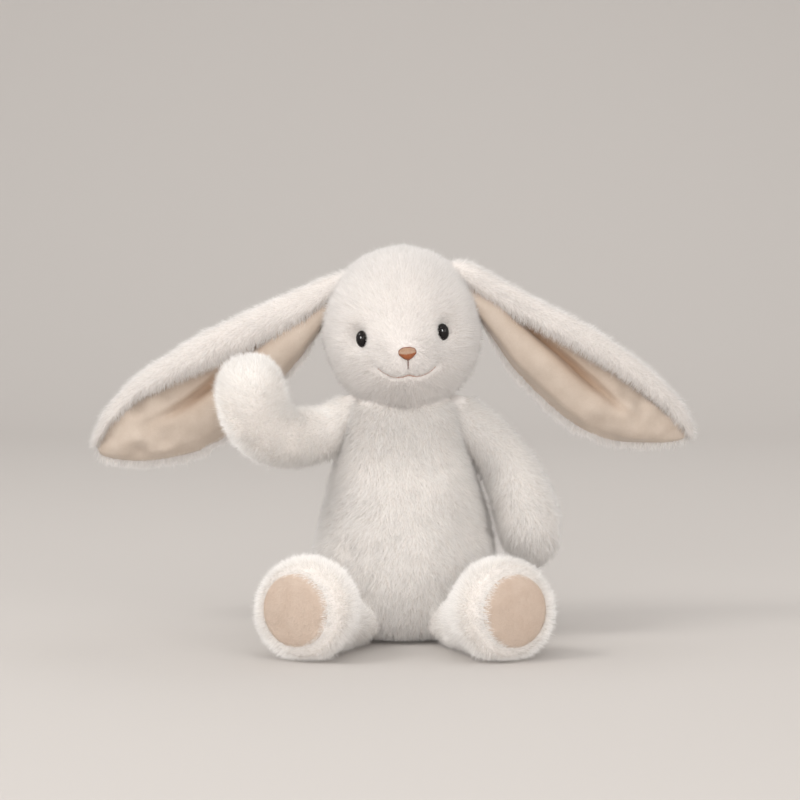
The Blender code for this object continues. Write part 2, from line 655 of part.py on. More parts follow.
# -------------------------------------------------------------------- pivots
def pivot(name, place, parent, pieces):
    """Empty on the axis of a seam; it carries the pieces that swing about it."""
    empty = bpy.data.objects.new(name, None)
    empty.empty_display_size = 0.02
    bpy.context.scene.collection.objects.link(empty)
    empty.location = Vector(place) * MM
    inverse = Matrix.Translation(-Vector(place) * MM)
    if parent is not None:
        empty.parent = parent
        empty.location -= parent.location
    for piece in pieces:
        ob = bpy.data.objects[piece]
        ob.parent = empty
        ob.matrix_parent_inverse = inverse
    return empty


body = pivot("pivot_torso", (0.0, 0.0, 0.0), None,
             ["torso_cover", "torso_stuffing", "bean_bag", "tail_cover", "tail_stuffing", "cut_arm_left", "cut_arm_right",
              "cut_leg_left", "cut_leg_right", "cut_tail"])
turn = pivot("pivot_head", HEAD_PIVOT, body,
             ["head_cover", "head_stuffing", "nose", "philtrum_stitch", "mouth_stitch"] +
             [kind + side for side in ("left", "right") for kind in ("eye_", "eye_washer_", "cut_socket_", "cut_shank_", "cut_washer_")])
for side, place in (("left", EAR_LEFT_PIVOT), ("right", EAR_RIGHT_PIVOT)):
    pivot("pivot_ear_" + side, place, turn, ["ear_%s_outer" % side, "ear_%s_lining" % side])
for side, place in (("left", ARM_LEFT_LINE[0]), ("right", ARM_RIGHT_LINE[0])):
    pivot("pivot_arm_" + side, place, body, ["arm_%s_cover" % side, "arm_%s_stuffing" % side])
for side, sx in (("left", 1), ("right", -1)):
    pivot("pivot_leg_" + side, (sx * LEG_LINE[0][0],) + LEG_LINE[0][1:], body,
          ["leg_%s_cover" % side, "leg_%s_stuffing" % side, "foot_pad_" + side])
bpy.context.view_layer.update()
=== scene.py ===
"""Looks of the stuffed bunny rabbit: plush skins, pile, velour, eyes, stitching, light and camera."""
import math

import bpy
import numpy as np
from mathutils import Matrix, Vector, kdtree


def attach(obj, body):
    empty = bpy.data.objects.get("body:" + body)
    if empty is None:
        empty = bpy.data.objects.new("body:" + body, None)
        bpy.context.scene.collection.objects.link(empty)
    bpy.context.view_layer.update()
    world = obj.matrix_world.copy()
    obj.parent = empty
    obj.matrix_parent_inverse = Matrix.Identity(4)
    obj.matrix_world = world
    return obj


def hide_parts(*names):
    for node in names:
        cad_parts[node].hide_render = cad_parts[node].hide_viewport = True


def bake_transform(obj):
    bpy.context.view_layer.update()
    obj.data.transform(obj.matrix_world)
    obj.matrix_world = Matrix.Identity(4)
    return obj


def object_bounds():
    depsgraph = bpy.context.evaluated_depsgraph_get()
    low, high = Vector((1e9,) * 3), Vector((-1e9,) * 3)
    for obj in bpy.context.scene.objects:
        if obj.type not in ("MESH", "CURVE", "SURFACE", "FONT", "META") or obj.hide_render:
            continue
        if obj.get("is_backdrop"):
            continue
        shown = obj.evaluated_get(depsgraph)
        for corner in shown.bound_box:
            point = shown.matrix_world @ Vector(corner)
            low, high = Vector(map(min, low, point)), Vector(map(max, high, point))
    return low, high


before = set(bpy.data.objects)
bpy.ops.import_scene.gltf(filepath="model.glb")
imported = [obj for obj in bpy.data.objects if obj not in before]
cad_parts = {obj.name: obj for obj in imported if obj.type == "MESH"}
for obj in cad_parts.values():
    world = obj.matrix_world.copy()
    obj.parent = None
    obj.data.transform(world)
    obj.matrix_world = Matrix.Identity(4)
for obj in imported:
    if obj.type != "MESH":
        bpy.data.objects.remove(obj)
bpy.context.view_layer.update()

MM = 0.001
INSET = 2.5           # backing cloth lies this far under the solid's outer face


# ------------------------------------------------------------------- numbers
def rng(seed):
    return np.random.RandomState(seed)


def unit(v):
    return v / np.maximum(np.linalg.norm(v, axis=-1, keepdims=True), 1e-9)


def lattice(ix, iy, iz, seed):
    h = (ix * 374761393 + iy * 668265263 + iz * 2147483647 + seed * 1274126177) & 0xFFFFFFFF
    h = ((h ^ (h >> 13)) * 1274126177) & 0xFFFFFFFF
    h = h ^ (h >> 16)
    return (h & 0xFFFF) / 65535.0 * 2.0 - 1.0


def noise(p, scale, seed=0):
    """Smooth noise in -1..1 at points p, with lumps of about that scale."""
    q = np.asarray(p, float) / scale
    i = np.floor(q).astype(np.int64)
    f = q - i
    f = f * f * (3 - 2 * f)
    out = 0.0
    for dx in (0, 1):
        for dy in (0, 1):
            for dz in (0, 1):
                w = (f[:, 0] if dx else 1 - f[:, 0]) * (f[:, 1] if dy else 1 - f[:, 1]) * (f[:, 2] if dz else 1 - f[:, 2])
                out = out + w * lattice(i[:, 0] + dx, i[:, 1] + dy, i[:, 2] + dz, seed)
    return out


def spline(xs, ys, x):
    """Monotone-ish cubic through points; ys may hold several columns."""
    xs = np.asarray(xs, float)
    ys = np.asarray(ys, float)
    if ys.ndim == 1:
        return spline(xs, ys[:, None], x)[:, 0]
    x = np.clip(np.asarray(x, float), xs[0], xs[-1])
    m = np.zeros_like(ys)
    d = (ys[1:] - ys[:-1]) / (xs[1:] - xs[:-1])[:, None]
    m[1:-1] = (d[1:] * (xs[1:-1] - xs[:-2])[:, None] + d[:-1] * (xs[2:] - xs[1:-1])[:, None]) / (xs[2:] - xs[:-2])[:, None]
    m[0], m[-1] = d[0], d[-1]
    k = np.clip(np.searchsorted(xs, x) - 1, 0, len(xs) - 2)
    h = (xs[k + 1] - xs[k])[:, None]
    t = ((x - xs[k]) / h[:, 0])[:, None]
    return ((2 * t ** 3 - 3 * t ** 2 + 1) * ys[k] + (t ** 3 - 2 * t ** 2 + t) * h * m[k] +
            (-2 * t ** 3 + 3 * t ** 2) * ys[k + 1] + (t ** 3 - t ** 2) * h * m[k + 1])


def smooth(a, b, x):
    t = np.clip((x - a) / (b - a), 0, 1)
    return t * t * (3 - 2 * t)


# ----------------------------------------------------------------- materials
def new_material(name):
    mat = bpy.data.materials.new(name)
    mat.use_nodes = True
    tree = mat.node_tree
    bsdf = tree.nodes["Principled BSDF"]
    return mat, tree, bsdf


def fur_material(name, root_shade, mid, tip, spread=0.19, rough=0.85, sheen=0.25):
    """Pile: colour darkens from the tip down to the root, painted shade deep in the pile, and differs a little from
    strand to strand.
    """
    mat, tree, bsdf = new_material(name)
    uv = tree.nodes.new("ShaderNodeUVMap")
    uv.uv_map = "OFBake"
    sep = tree.nodes.new("ShaderNodeSeparateXYZ")
    tree.links.new(uv.outputs["UV"], sep.inputs["Vector"])
    ramp = tree.nodes.new("ShaderNodeValToRGB")
    ramp.color_ramp.interpolation = 'EASE'
    ramp.color_ramp.elements[0].color = (*root_shade, 1)
    ramp.color_ramp.elements[1].color = (*tip, 1)
    e = ramp.color_ramp.elements.new(0.45)
    e.color = (*mid, 1)
    tree.links.new(sep.outputs["Y"], ramp.inputs["Fac"])
    snap = tree.nodes.new("ShaderNodeMath")
    snap.operation = 'MULTIPLY'
    snap.inputs[1].default_value = 64.0
    tree.links.new(sep.outputs["X"], snap.inputs[0])
    floor = tree.nodes.new("ShaderNodeMath")
    floor.operation = 'FLOOR'
    tree.links.new(snap.outputs[0], floor.inputs[0])
    rnd = tree.nodes.new("ShaderNodeTexWhiteNoise")
    rnd.noise_dimensions = '1D'
    tree.links.new(floor.outputs[0], rnd.inputs["W"])
    rng_map = tree.nodes.new("ShaderNodeMapRange")
    rng_map.inputs["To Min"].default_value = 1.0 - spread
    rng_map.inputs["To Max"].default_value = 1.0 + spread * 0.35
    tree.links.new(rnd.outputs["Value"], rng_map.inputs["Value"])
    mul = tree.nodes.new("ShaderNodeMix")
    mul.data_type = 'RGBA'
    mul.blend_type = 'MULTIPLY'
    mul.inputs["Factor"].default_value = 1.0
    tree.links.new(ramp.outputs["Color"], mul.inputs["A"])
    tree.links.new(rng_map.outputs["Result"], mul.inputs["B"])
    tree.links.new(mul.outputs["Result"], bsdf.inputs["Base Color"])
    bsdf.inputs["Roughness"].default_value = rough
    bsdf.inputs["Specular IOR Level"].default_value = 0.2
    bsdf.inputs["Sheen Weight"].default_value = sheen
    bsdf.inputs["Sheen Roughness"].default_value = 0.5
    return mat


def cloth_material(name, dark, light, scale, bump, rough=0.9, sheen=0.3, fine=1400.0, specular=0.2, fold_shade=None):
    """Cloth: mottled colour and a fine nap. Where the mesh carries a painted-shade value for its folds, the colour is
    darkened by that painted shade.
    """
    mat, tree, bsdf = new_material(name)
    tex = tree.nodes.new("ShaderNodeTexCoord")
    n1 = tree.nodes.new("ShaderNodeTexNoise")
    n1.inputs["Scale"].default_value = scale
    n1.inputs["Detail"].default_value = 5.0
    n1.inputs["Roughness"].default_value = 0.62
    n2 = tree.nodes.new("ShaderNodeTexNoise")
    n2.inputs["Scale"].default_value = fine
    n2.inputs["Detail"].default_value = 3.0
    ramp = tree.nodes.new("ShaderNodeValToRGB")
    ramp.color_ramp.elements[0].position = 0.32
    ramp.color_ramp.elements[1].position = 0.68
    ramp.color_ramp.elements[0].color = (*dark, 1)
    ramp.color_ramp.elements[1].color = (*light, 1)
    mixv = tree.nodes.new("ShaderNodeMix")
    mixv.data_type = 'FLOAT'
    mixv.inputs["Factor"].default_value = 0.35
    for n in (n1, n2):
        tree.links.new(tex.outputs["Object"], n.inputs["Vector"])
    tree.links.new(n1.outputs["Fac"], mixv.inputs["A"])
    tree.links.new(n2.outputs["Fac"], mixv.inputs["B"])
    tree.links.new(mixv.outputs["Result"], ramp.inputs["Fac"])
    if fold_shade is None:
        tree.links.new(ramp.outputs["Color"], bsdf.inputs["Base Color"])
    else:
        # painted shade: the colour is multiplied darker by the mesh's fold value
        att = tree.nodes.new("ShaderNodeAttribute")
        att.attribute_name = "fold_shade"
        deep = tree.nodes.new("ShaderNodeMix")
        deep.data_type = 'RGBA'
        deep.blend_type = 'MULTIPLY'
        deep.inputs["B"].default_value = (*fold_shade, 1)
        tree.links.new(att.outputs["Fac"], deep.inputs["Factor"])
        tree.links.new(ramp.outputs["Color"], deep.inputs["A"])
        tree.links.new(deep.outputs["Result"], bsdf.inputs["Base Color"])
    bmp = tree.nodes.new("ShaderNodeBump")
    bmp.inputs["Strength"].default_value = bump
    bmp.inputs["Distance"].default_value = 0.0006
    tree.links.new(n2.outputs["Fac"], bmp.inputs["Height"])
    tree.links.new(bmp.outputs["Normal"], bsdf.inputs["Normal"])
    bsdf.inputs["Roughness"].default_value = rough
    bsdf.inputs["Specular IOR Level"].default_value = specular
    bsdf.inputs["Sheen Weight"].default_value = sheen
    bsdf.inputs["Sheen Roughness"].default_value = 0.4
    return mat


# each pile's colours run root, mid, tip; the darker roots are painted shade deep in the pile
FUR = fur_material("plush_pile", (0.74, 0.69, 0.64), (0.93, 0.905, 0.88), (0.975, 0.96, 0.945))
# the head's pile is the body's plush painted a little darker: painted shade that evens out the stronger light on the
# head
HEAD_FUR_SHADED = fur_material("head_pile_fine_shaded", (0.70, 0.645, 0.60), (0.86, 0.825, 0.80), (0.895, 0.87, 0.855), 0.13)
EAR_FUR = fur_material("ear_pile", (0.72, 0.66, 0.61), (0.92, 0.885, 0.86), (0.965, 0.94, 0.92))
BACKING = cloth_material("plush_backing", (0.84, 0.80, 0.77), (0.92, 0.89, 0.87), 160.0, 0.3)
# the lining's fold colour is painted shade, multiplied in at its crease, on the pillow below it and under the lip
LINING = cloth_material("ear_velour", (0.525, 0.435, 0.36), (0.60, 0.515, 0.44), 90.0, 0.25, rough=0.8, sheen=0.3, fold_shade=(0.62, 0.49, 0.39))
PAD = cloth_material("sole_velour", (0.58, 0.46, 0.375), (0.67, 0.56, 0.475), 120.0, 0.3, rough=0.8, sheen=0.3)
PAD_NAP = fur_material("sole_velour_nap", (0.58, 0.465, 0.38), (0.645, 0.53, 0.44), (0.70, 0.59, 0.50), 0.12)
FIBRE = cloth_material("fibre_fill", (0.74, 0.74, 0.73), (0.88, 0.88, 0.87), 300.0, 0.6)
POUCH = cloth_material("pouch_weave", (0.58, 0.58, 0.56), (0.72, 0.72, 0.70), 500.0, 0.6)
PLASTIC = cloth_material("washer_plastic", (0.70, 0.70, 0.69), (0.76, 0.76, 0.75), 200.0, 0.05, rough=0.45, sheen=0.0, specular=0.5)


def eye_material():
    mat, tree, bsdf = new_material("eye_gloss")
    tex = tree.nodes.new("ShaderNodeTexCoord")
    n = tree.nodes.new("ShaderNodeTexNoise")
    n.inputs["Scale"].default_value = 900.0
    n.inputs["Detail"].default_value = 2.0
    ramp = tree.nodes.new("ShaderNodeValToRGB")
    ramp.color_ramp.elements[0].color = (0.006, 0.005, 0.005, 1)
    ramp.color_ramp.elements[1].color = (0.012, 0.010, 0.010, 1)
    tree.links.new(tex.outputs["Object"], n.inputs["Vector"])
    tree.links.new(n.outputs["Fac"], ramp.inputs["Fac"])
    tree.links.new(ramp.outputs["Color"], bsdf.inputs["Base Color"])
    bsdf.inputs["Roughness"].default_value = 0.10
    bsdf.inputs["Specular IOR Level"].default_value = 0.18
    bsdf.inputs["Coat Weight"].default_value = 0.12
    bsdf.inputs["Coat Roughness"].default_value = 0.05
    return mat


def thread_material(name, dark, light, rough=0.45, sheen=0.2):
    mat, tree, bsdf = new_material(name)
    tex = tree.nodes.new("ShaderNodeTexCoord")
    n = tree.nodes.new("ShaderNodeTexNoise")
    n.inputs["Scale"].default_value = 1100.0
    n.inputs["Detail"].default_value = 3.0
    ramp = tree.nodes.new("ShaderNodeValToRGB")
    ramp.color_ramp.elements[0].position = 0.3
    ramp.color_ramp.elements[1].position = 0.7
    ramp.color_ramp.elements[0].color = (*dark, 1)
    ramp.color_ramp.elements[1].color = (*light, 1)
    bmp = tree.nodes.new("ShaderNodeBump")
    bmp.inputs["Strength"].default_value = 0.35
    bmp.inputs["Distance"].default_value = 0.0002
    tree.links.new(tex.outputs["Object"], n.inputs["Vector"])
    tree.links.new(n.outputs["Fac"], ramp.inputs["Fac"])
    tree.links.new(n.outputs["Fac"], bmp.inputs["Height"])
    tree.links.new(bmp.outputs["Normal"], bsdf.inputs["Normal"])
    tree.links.new(ramp.outputs["Color"], bsdf.inputs["Base Color"])
    bsdf.inputs["Roughness"].default_value = rough
    bsdf.inputs["Specular IOR Level"].default_value = 0.5
    bsdf.inputs["Sheen Weight"].default_value = sheen
    return mat


EYE = eye_material()
NOSE = thread_material("nose_satin", (0.275, 0.075, 0.02), (0.385, 0.125, 0.04), 0.42, 0.06)
# the lighter satin colour is a painted sheen highlight for the upper stitches, where the lamps above catch the thread
NOSE_PAINTED_SHEEN = thread_material("nose_satin_painted_sheen", (0.35, 0.205, 0.125), (0.45, 0.29, 0.19), 0.40, 0.10)
NOSE_EDGE = thread_material("nose_edge", (0.17, 0.052, 0.022), (0.25, 0.085, 0.038), 0.5)
MOUTH = thread_material("mouth_cotton", (0.50, 0.30, 0.235), (0.62, 0.41, 0.34), 0.7)
PHILTRUM = thread_material("philtrum_cotton", (0.13, 0.055, 0.035), (0.22, 0.10, 0.07), 0.6)


# -------------------------------------------------------------------- meshes
class Surf:
    """Triangles with normals, and the flow and length of the pile on them."""

    def __init__(self, verts, faces):
        self.v = np.asarray(verts, float)
        self.f = np.asarray(faces, np.int64)
        a, b, c = self.v[self.f[:, 0]], self.v[self.f[:, 1]], self.v[self.f[:, 2]]
        fn = np.cross(b - a, c - a)
        self.area = np.linalg.norm(fn, axis=1) / 2
        n = np.zeros_like(self.v)
        for k in range(3):
            np.add.at(n, self.f[:, k], fn)
        self.n = unit(n)
        self.flow = np.zeros_like(self.v)
        self.len = np.full(len(self.v), 6.0)
        self.dens = np.ones(len(self.v))


def grid(rows, closed=True, start_pole=None, end_pole=None):
    """Triangles over rows of points (m, n, 3); rows wrap if closed."""
    rows = np.asarray(rows, float)
    m, n = rows.shape[:2]
    verts = rows.reshape(-1, 3)
    faces = []
    cols = n if closed else n - 1
    i, j = np.meshgrid(np.arange(m - 1), np.arange(cols), indexing="ij")
    i, j = i.ravel(), j.ravel()
    k = (j + 1) % n
    a, b, c, d = i * n + j, i * n + k, (i + 1) * n + k, (i + 1) * n + j
    faces = [np.stack([a, b, c], 1), np.stack([a, c, d], 1)]
    extra = []
    base = len(verts)
    ring = np.arange(n)
    if start_pole is not None:
        extra.append(start_pole)
        faces.append(np.stack([(ring + 1) % n, ring, np.full(n, base)], 1))
        base += 1
    if end_pole is not None:
        extra.append(end_pole)
        off = (m - 1) * n
        faces.append(np.stack([off + ring, off + (ring + 1) % n, np.full(n, base)], 1))
    if extra:
        verts = np.vstack([verts, np.asarray(extra, float)])
    return verts, np.vstack(faces)


def outward(verts, faces):
    a, b, c = verts[faces[:, 0]], verts[faces[:, 1]], verts[faces[:, 2]]
    vol = np.einsum("ij,ij->i", a, np.cross(b, c)).sum()
    return faces if vol > 0 else faces[:, ::-1]


def add_mesh(name, verts, faces, mat, smooth_shade=True, tidy=True):
    """Object from points in millimetres."""
    verts = np.asarray(verts, float) * MM
    faces = np.asarray(faces, np.int64)
    me = bpy.data.meshes.new(name)
    k = faces.shape[1]
    me.vertices.add(len(verts))
    me.vertices.foreach_set("co", verts.astype(np.float32).ravel())
    me.loops.add(faces.size)
    me.loops.foreach_set("vertex_index", faces.astype(np.int32).ravel())
    me.polygons.add(len(faces))
    me.polygons.foreach_set("loop_start", np.arange(0, faces.size, k, dtype=np.int32))
    me.polygons.foreach_set("use_smooth", np.full(len(faces), smooth_shade, dtype=bool))
    me.update(calc_edges=True)
    if tidy:
        me.validate()
    ob = bpy.data.objects.new(name, me)
    bpy.context.scene.collection.objects.link(ob)
    me.materials.append(mat)
    return ob


def sample(s, count, seed):
    """Points spread over a surface by area and density."""
    r = rng(seed)
    w = s.area * s.dens[s.f].mean(1)
    cum = np.cumsum(w)
    t = np.searchsorted(cum, (np.arange(count) + r.rand(count)) / count * cum[-1])
    t = np.clip(t, 0, len(w) - 1)
    r1, r2 = np.sqrt(r.rand(count)), r.rand(count)
    bary = np.stack([1 - r1, r1 * (1 - r2), r1 * r2], 1)[:, :, None]
    f = s.f[t]
    p = (s.v[f] * bary).sum(1)
    n = unit((s.n[f] * bary).sum(1))
    g = (s.flow[f] * bary).sum(1)
    ln = (s.len[f] * bary[:, :, 0]).sum(1)
    return p, n, g, ln


def mean_area(s):
    return (s.area * s.dens[s.f].mean(1)).sum()


def grow(name, surf, per_mm2, mat, seed, width=0.30, lean=0.82, clump=1.9, pull=0.36, droop=0.05,
         swirl=0.40, floor=0.5, keep=None, jitter=0.20, stray=0.035, shade=0.20, most=62000):
    """Pile as slim fibres, each a low ridge that runs to a point. Returns the pieces it is split into."""
    count = int(mean_area(surf) * per_mm2)
    p, n, g, ln = sample(surf, count, seed)
    if keep is not None:
        k = keep(p)
        p, n, g, ln = p[k], n[k], g[k], ln[k]
    k = ln > 0.25
    p, n, g, ln = p[k], n[k], g[k], ln[k]
    order = np.argsort(p[:, 1], kind="stable")
    p, n, g, ln = p[order], n[order], g[order], ln[order]
    count = len(p)
    r = rng(seed + 1)
    g = g - n * (g * n).sum(1, keepdims=True)
    weak = np.linalg.norm(g, axis=1) < 0.05
    g[weak] = np.cross(n[weak], r.randn(weak.sum(), 3))
    g = unit(g)
    side = np.cross(n, g)
    turn = swirl * (noise(p, 9.0, seed) + 0.6 * noise(p, 22.0, seed + 7)) + 0.25 * r.randn(count)
    g = g * np.cos(turn)[:, None] + side * np.sin(turn)[:, None]
    a = lean * (1.0 + 0.22 * noise(p, 7.0, seed + 3)) + jitter * r.randn(count)
    ln = ln * (0.80 + 0.32 * r.rand(count)) * (1 + 0.10 * noise(p, 5.0, seed + 5))
    wild = r.rand(count) < stray
    ln[wild] *= 1.3
    a[wild] *= 0.75
    a = np.clip(a, 0.05, 1.42)
    d = n * np.cos(a)[:, None] + g * np.sin(a)[:, None]
    d[:, 2] -= droop
    tip = p + d * ln[:, None]
    if clump > 0:
        heads = max(1, int(count / (per_mm2 * clump * clump * 0.8)))
        lead = r.permutation(count)[:heads]
        tree = kdtree.KDTree(heads)
        for i, q in enumerate(lead):
            tree.insert(p[q], i)
        tree.balance()
        near = np.fromiter((tree.find(q)[1] for q in p), np.int64, count)
        amount = pull * (0.5 + 0.7 * r.rand(count))[:, None]
        tip -= amount * (p - p[lead[near]])
    if floor is not None:
        tip[:, 2] = np.maximum(tip[:, 2], floor + 0.5 * r.rand(count))
    d = unit(tip - p)
    w = np.cross(n, d)
    thin = np.linalg.norm(w, axis=1) < 0.05
    w[thin] = side[thin]
    w = unit(w)
    ridge = np.cross(d, w)
    half = (width * 0.5 * (0.8 + 0.4 * r.rand(count)))[:, None]
    base = p - n * 0.35
    co = np.stack([base - w * half, base + w * half, base + ridge * half * 0.8, tip], 1)
    col = (r.randint(0, 64, count) + 0.1) / 64.0
    wide = 0.8 / 64.0
    uv = np.zeros((count, 4, 2))
    uv[:, :, 0] = col[:, None] + np.array([0, wide, wide * 0.5, wide * 0.5])
    uv[:, :, 1] = np.array([0.02, 0.02, 0.06, 0.98])
    nb = n + r.randn(count, 3) * 0.22
    low, high, top, end = unit(nb - w * 0.50), unit(nb + w * 0.50), unit(nb), unit(nb + 0.15 * d)
    under = unit(0.5 * d + 0.3 * n - ridge)
    vn = np.stack([low, end, top, high, top, end, under, under, under], 1)
    tri = np.array([[0, 3, 2], [1, 2, 3], [0, 1, 3]])
    # a part of the fibres darkens the ones below, the rest lets the light through as white pile does
    dark = r.rand(count) < (shade(p) if callable(shade) else shade)
    groups = [(np.flatnonzero(dark), True), (np.flatnonzero(~dark), False)]
    pieces = []
    for group, shadows in groups:
        for pick in np.array_split(group, max(1, math.ceil(len(group) / most))):
            if len(pick) == 0:
                continue
            faces = (tri[None] + 4 * np.arange(len(pick))[:, None, None]).reshape(-1, 3)
            ob = add_mesh("%s_%d" % (name, len(pieces) + 1), co[pick].reshape(-1, 3), faces, mat, tidy=False)
            me = ob.data
            layer = me.uv_layers.new(name="OFBake")
            layer.data.foreach_set("uv", uv[pick][:, tri.ravel()].reshape(-1).astype(np.float32))
            me.normals_split_custom_set(vn[pick].reshape(-1, 3).astype(np.float32))
            ob.visible_shadow = shadows
            pieces.append(ob)
    return pieces


# ---------------------------------------------------------------------- head
HEAD_C = np.array((-1.2, -2.0, 184.0))
ROLL = math.radians(5.0)
HEAD_X, HEAD_FRONT, HEAD_BACK, HEAD_UP, HEAD_DOWN = 46.0, 43.0, 42.0, 48.5, 45.0
MUZZLE_DIR = unit(np.array((0.03, -0.945, -0.325)))
EYE_X, EYE_Z = 25.9, -2.6
EYE_W, EYE_H, EYE_DOME = 3.5, 5.0, 3.8
NOSE_AT = (2.0, -12.1)
NOSE_W, NOSE_H = 4.8, 3.35
SMILE = np.array([(-16.6, -21.4), (-12.9, -24.2), (-8.0, -26.8), (-2.6, -27.4), (1.6, -26.5),
                  (6.0, -27.7), (11.2, -27.1), (15.2, -25.5), (18.4, -23.1)])


def roll_in(p):
    """World points to the head's own frame."""
    q = np.atleast_2d(p) - HEAD_C
    c, k = math.cos(ROLL), math.sin(ROLL)
    return np.stack([q[:, 0] * c + q[:, 2] * k, q[:, 1], q[:, 2] * c - q[:, 0] * k], 1)


def roll_out(q, place=True):
    q = np.atleast_2d(np.asarray(q, float))
    c, k = math.cos(ROLL), math.sin(ROLL)
    p = np.stack([q[:, 0] * c - q[:, 2] * k, q[:, 1], q[:, 2] * c + q[:, 0] * k], 1)
    return p + HEAD_C if place else p


def ang(d, axis):
    return np.arccos(np.clip(d @ unit(np.asarray(axis, float)), -1, 1))


def head_base(d):
    ay = np.where(d[:, 1] < 0, HEAD_FRONT, HEAD_BACK)
    az = np.where(d[:, 2] > 0, HEAD_UP, HEAD_DOWN)
    r = 1.0 / np.sqrt((d[:, 0] / HEAD_X) ** 2 + (d[:, 1] / ay) ** 2 + (d[:, 2] / az) ** 2)
    r = r + 8.0 * np.exp(-(ang(d, MUZZLE_DIR) / 0.42) ** 2)
    for sx in (-1, 1):
        r = r + 2.0 * np.exp(-(ang(d, (sx * 0.72, -0.50, -0.42)) / 0.45) ** 2)
    return r


def face_r(d):
    """Head with its wide jaw and full low cheeks, before the small hollows."""
    r = head_base(d)
    r = r + 8.6 * np.exp(-(ang(unit(d * np.array((0.62, 1.0, 1.0))), (0.02, -0.66, -0.75)) / 0.42) ** 2)
    for sx in (-1, 1):
        r = r + 0.6 * np.exp(-(ang(d, (sx * 0.64, -0.42, -0.64)) / 0.42) ** 2)
    return r


def on_front(x, z, lift=0.0, fn=face_r):
    """Points on the front of the head at x, z of its own frame."""
    x, z = np.atleast_1d(np.asarray(x, float)), np.atleast_1d(np.asarray(z, float))
    y = np.full_like(x, -HEAD_FRONT)
    for _ in range(40):
        q = np.stack([x, y, z], 1)
        ln = np.linalg.norm(q, axis=1)
        y = y * (1 + 0.7 * (fn(q / ln[:, None]) / ln - 1))
    q = np.stack([x, y, z], 1)
    return q + unit(q) * np.reshape(lift, (-1, 1))


def line_distance(pts, line):
    """Distance of 2-D points from a polyline."""
    best = np.full(len(pts), 1e9)
    for a, b in zip(line, line[1:]):
        ab = b - a
        t = np.clip(((pts - a) @ ab) / (ab @ ab), 0, 1)
        best = np.minimum(best, np.linalg.norm(pts - a - t[:, None] * ab, axis=1))
    return best


EYE_AT = {s: on_front(s * EYE_X, EYE_Z)[0] for s in (-1, 1)}


def smile_line(n=60):
    t = np.linspace(0, 1, len(SMILE))
    return spline(t, SMILE, np.linspace(0, 1, n))


SMILE_FINE = smile_line()


def head_skin_r(d):
    """Backing of the head: sockets, mouth groove, full cheeks and soft lumps."""
    r = face_r(d)
    p = d * r[:, None]
    out = r - INSET
    front = smooth(0.0, -0.25, d[:, 1])
    for s in (-1, 1):
        pocket = EYE_AT[s] + np.array((s * 2.2, 0.8, 1.6))
        e = np.linalg.norm((p - pocket) * np.array((1.0, 1.0, 0.85)), axis=1)
        out = out - 4.6 * np.exp(-(e / 6.6) ** 2)
        brow = np.linalg.norm(p - (EYE_AT[s] + np.array((-s * 3.0, -1.0, 12.0))), axis=1)
        out = out + 0.8 * np.exp(-(brow / 8.0) ** 2)
    dm = line_distance(p[:, [0, 2]], SMILE_FINE)
    out = out - 0.5 * np.exp(-(dm / 1.1) ** 2) * front
    over = p[:, 2] - np.interp(p[:, 0], SMILE_FINE[:, 0], SMILE_FINE[:, 1])
    wide = smooth(-19.0, -11.0, p[:, 0]) * smooth(21.0, 13.0, p[:, 0])
    out = out + 2.0 * smooth(-0.3, 2.4, over) * np.exp(-(np.maximum(over - 3.5, 0) / 5.5) ** 2) * wide * front
    mid = np.abs(p[:, 0] - 1.8)
    out = out - 1.0 * np.exp(-(mid / 1.6) ** 2) * smooth(-15.0, -18.0, p[:, 2]) * smooth(-30.0, -27.0, p[:, 2]) * front
    out = out + 0.45 * noise(p, 16.0, 11)
    return out


def build_head():
    m, n = 110, 144
    t = np.linspace(0.02, math.pi - 0.02, m)
    a = np.linspace(0, 2 * math.pi, n, endpoint=False)
    tt, aa = np.meshgrid(t, a, indexing="ij")
    d = np.stack([np.sin(tt) * np.cos(aa), np.sin(tt) * np.sin(aa), -np.cos(tt)], -1).reshape(-1, 3)
    p = d * head_skin_r(d)[:, None]
    rows = roll_out(p).reshape(m, n, 3)
    verts, faces = grid(rows, True, roll_out((0, 0, -HEAD_DOWN + INSET))[0], roll_out((0, 0, HEAD_UP - INSET))[0])
    return Surf(verts, outward(verts, faces))


head = build_head()
local = roll_in(head.v)
nose_p = on_front(*NOSE_AT)[0]
flow = local - (nose_p + np.array((0.0, 6.0, 0.0)))
flow[:, 2] -= 22.0 * smooth(0.0, 35.0, local[:, 1])
head.flow = roll_out(unit(flow), False)
e_dist = np.minimum(*[np.linalg.norm((local - EYE_AT[s]) * np.array((1, 1, 0.80)), axis=1) for s in (-1, 1)])
n_dist = np.linalg.norm((local - nose_p) * np.array((0.8, 1, 1.1)), axis=1)
far = np.linalg.norm(local - nose_p, axis=1)
m_dist = np.where(local[:, 1] < 0, line_distance(local[:, [0, 2]], SMILE_FINE), 99.0)
length = np.full(len(head.v), 6.0) * (0.58 + 0.42 * smooth(12.0, 40.0, far))
length *= 1.0 + 0.22 * smooth(-10.0, -28.0, local[:, 2]) * smooth(20.0, 40.0, far)
length *= 0.32 + 0.68 * smooth(4.5, 11.0, e_dist)
length *= 0.45 + 0.55 * smooth(4.0, 11.0, n_dist)
m_over = local[:, 2] - np.interp(local[:, 0], SMILE_FINE[:, 0], SMILE_FINE[:, 1])
length *= np.where(m_over > -0.6, 0.26 + 0.74 * smooth(1.0, 5.5, m_dist), 0.45 + 0.55 * smooth(0.6, 2.4, m_dist))
head.len = length
head.dens = np.where((local[:, 2] < -41.5), 0.0, 1.0) * (1.0 + 0.5 * smooth(34, 12, far))
head_skin = add_mesh("head_skin", head.v, head.f, BACKING)
EYE_OUT = {s: unit(np.array((s * 0.60, -0.80, 0.02))) for s in (-1, 1)}


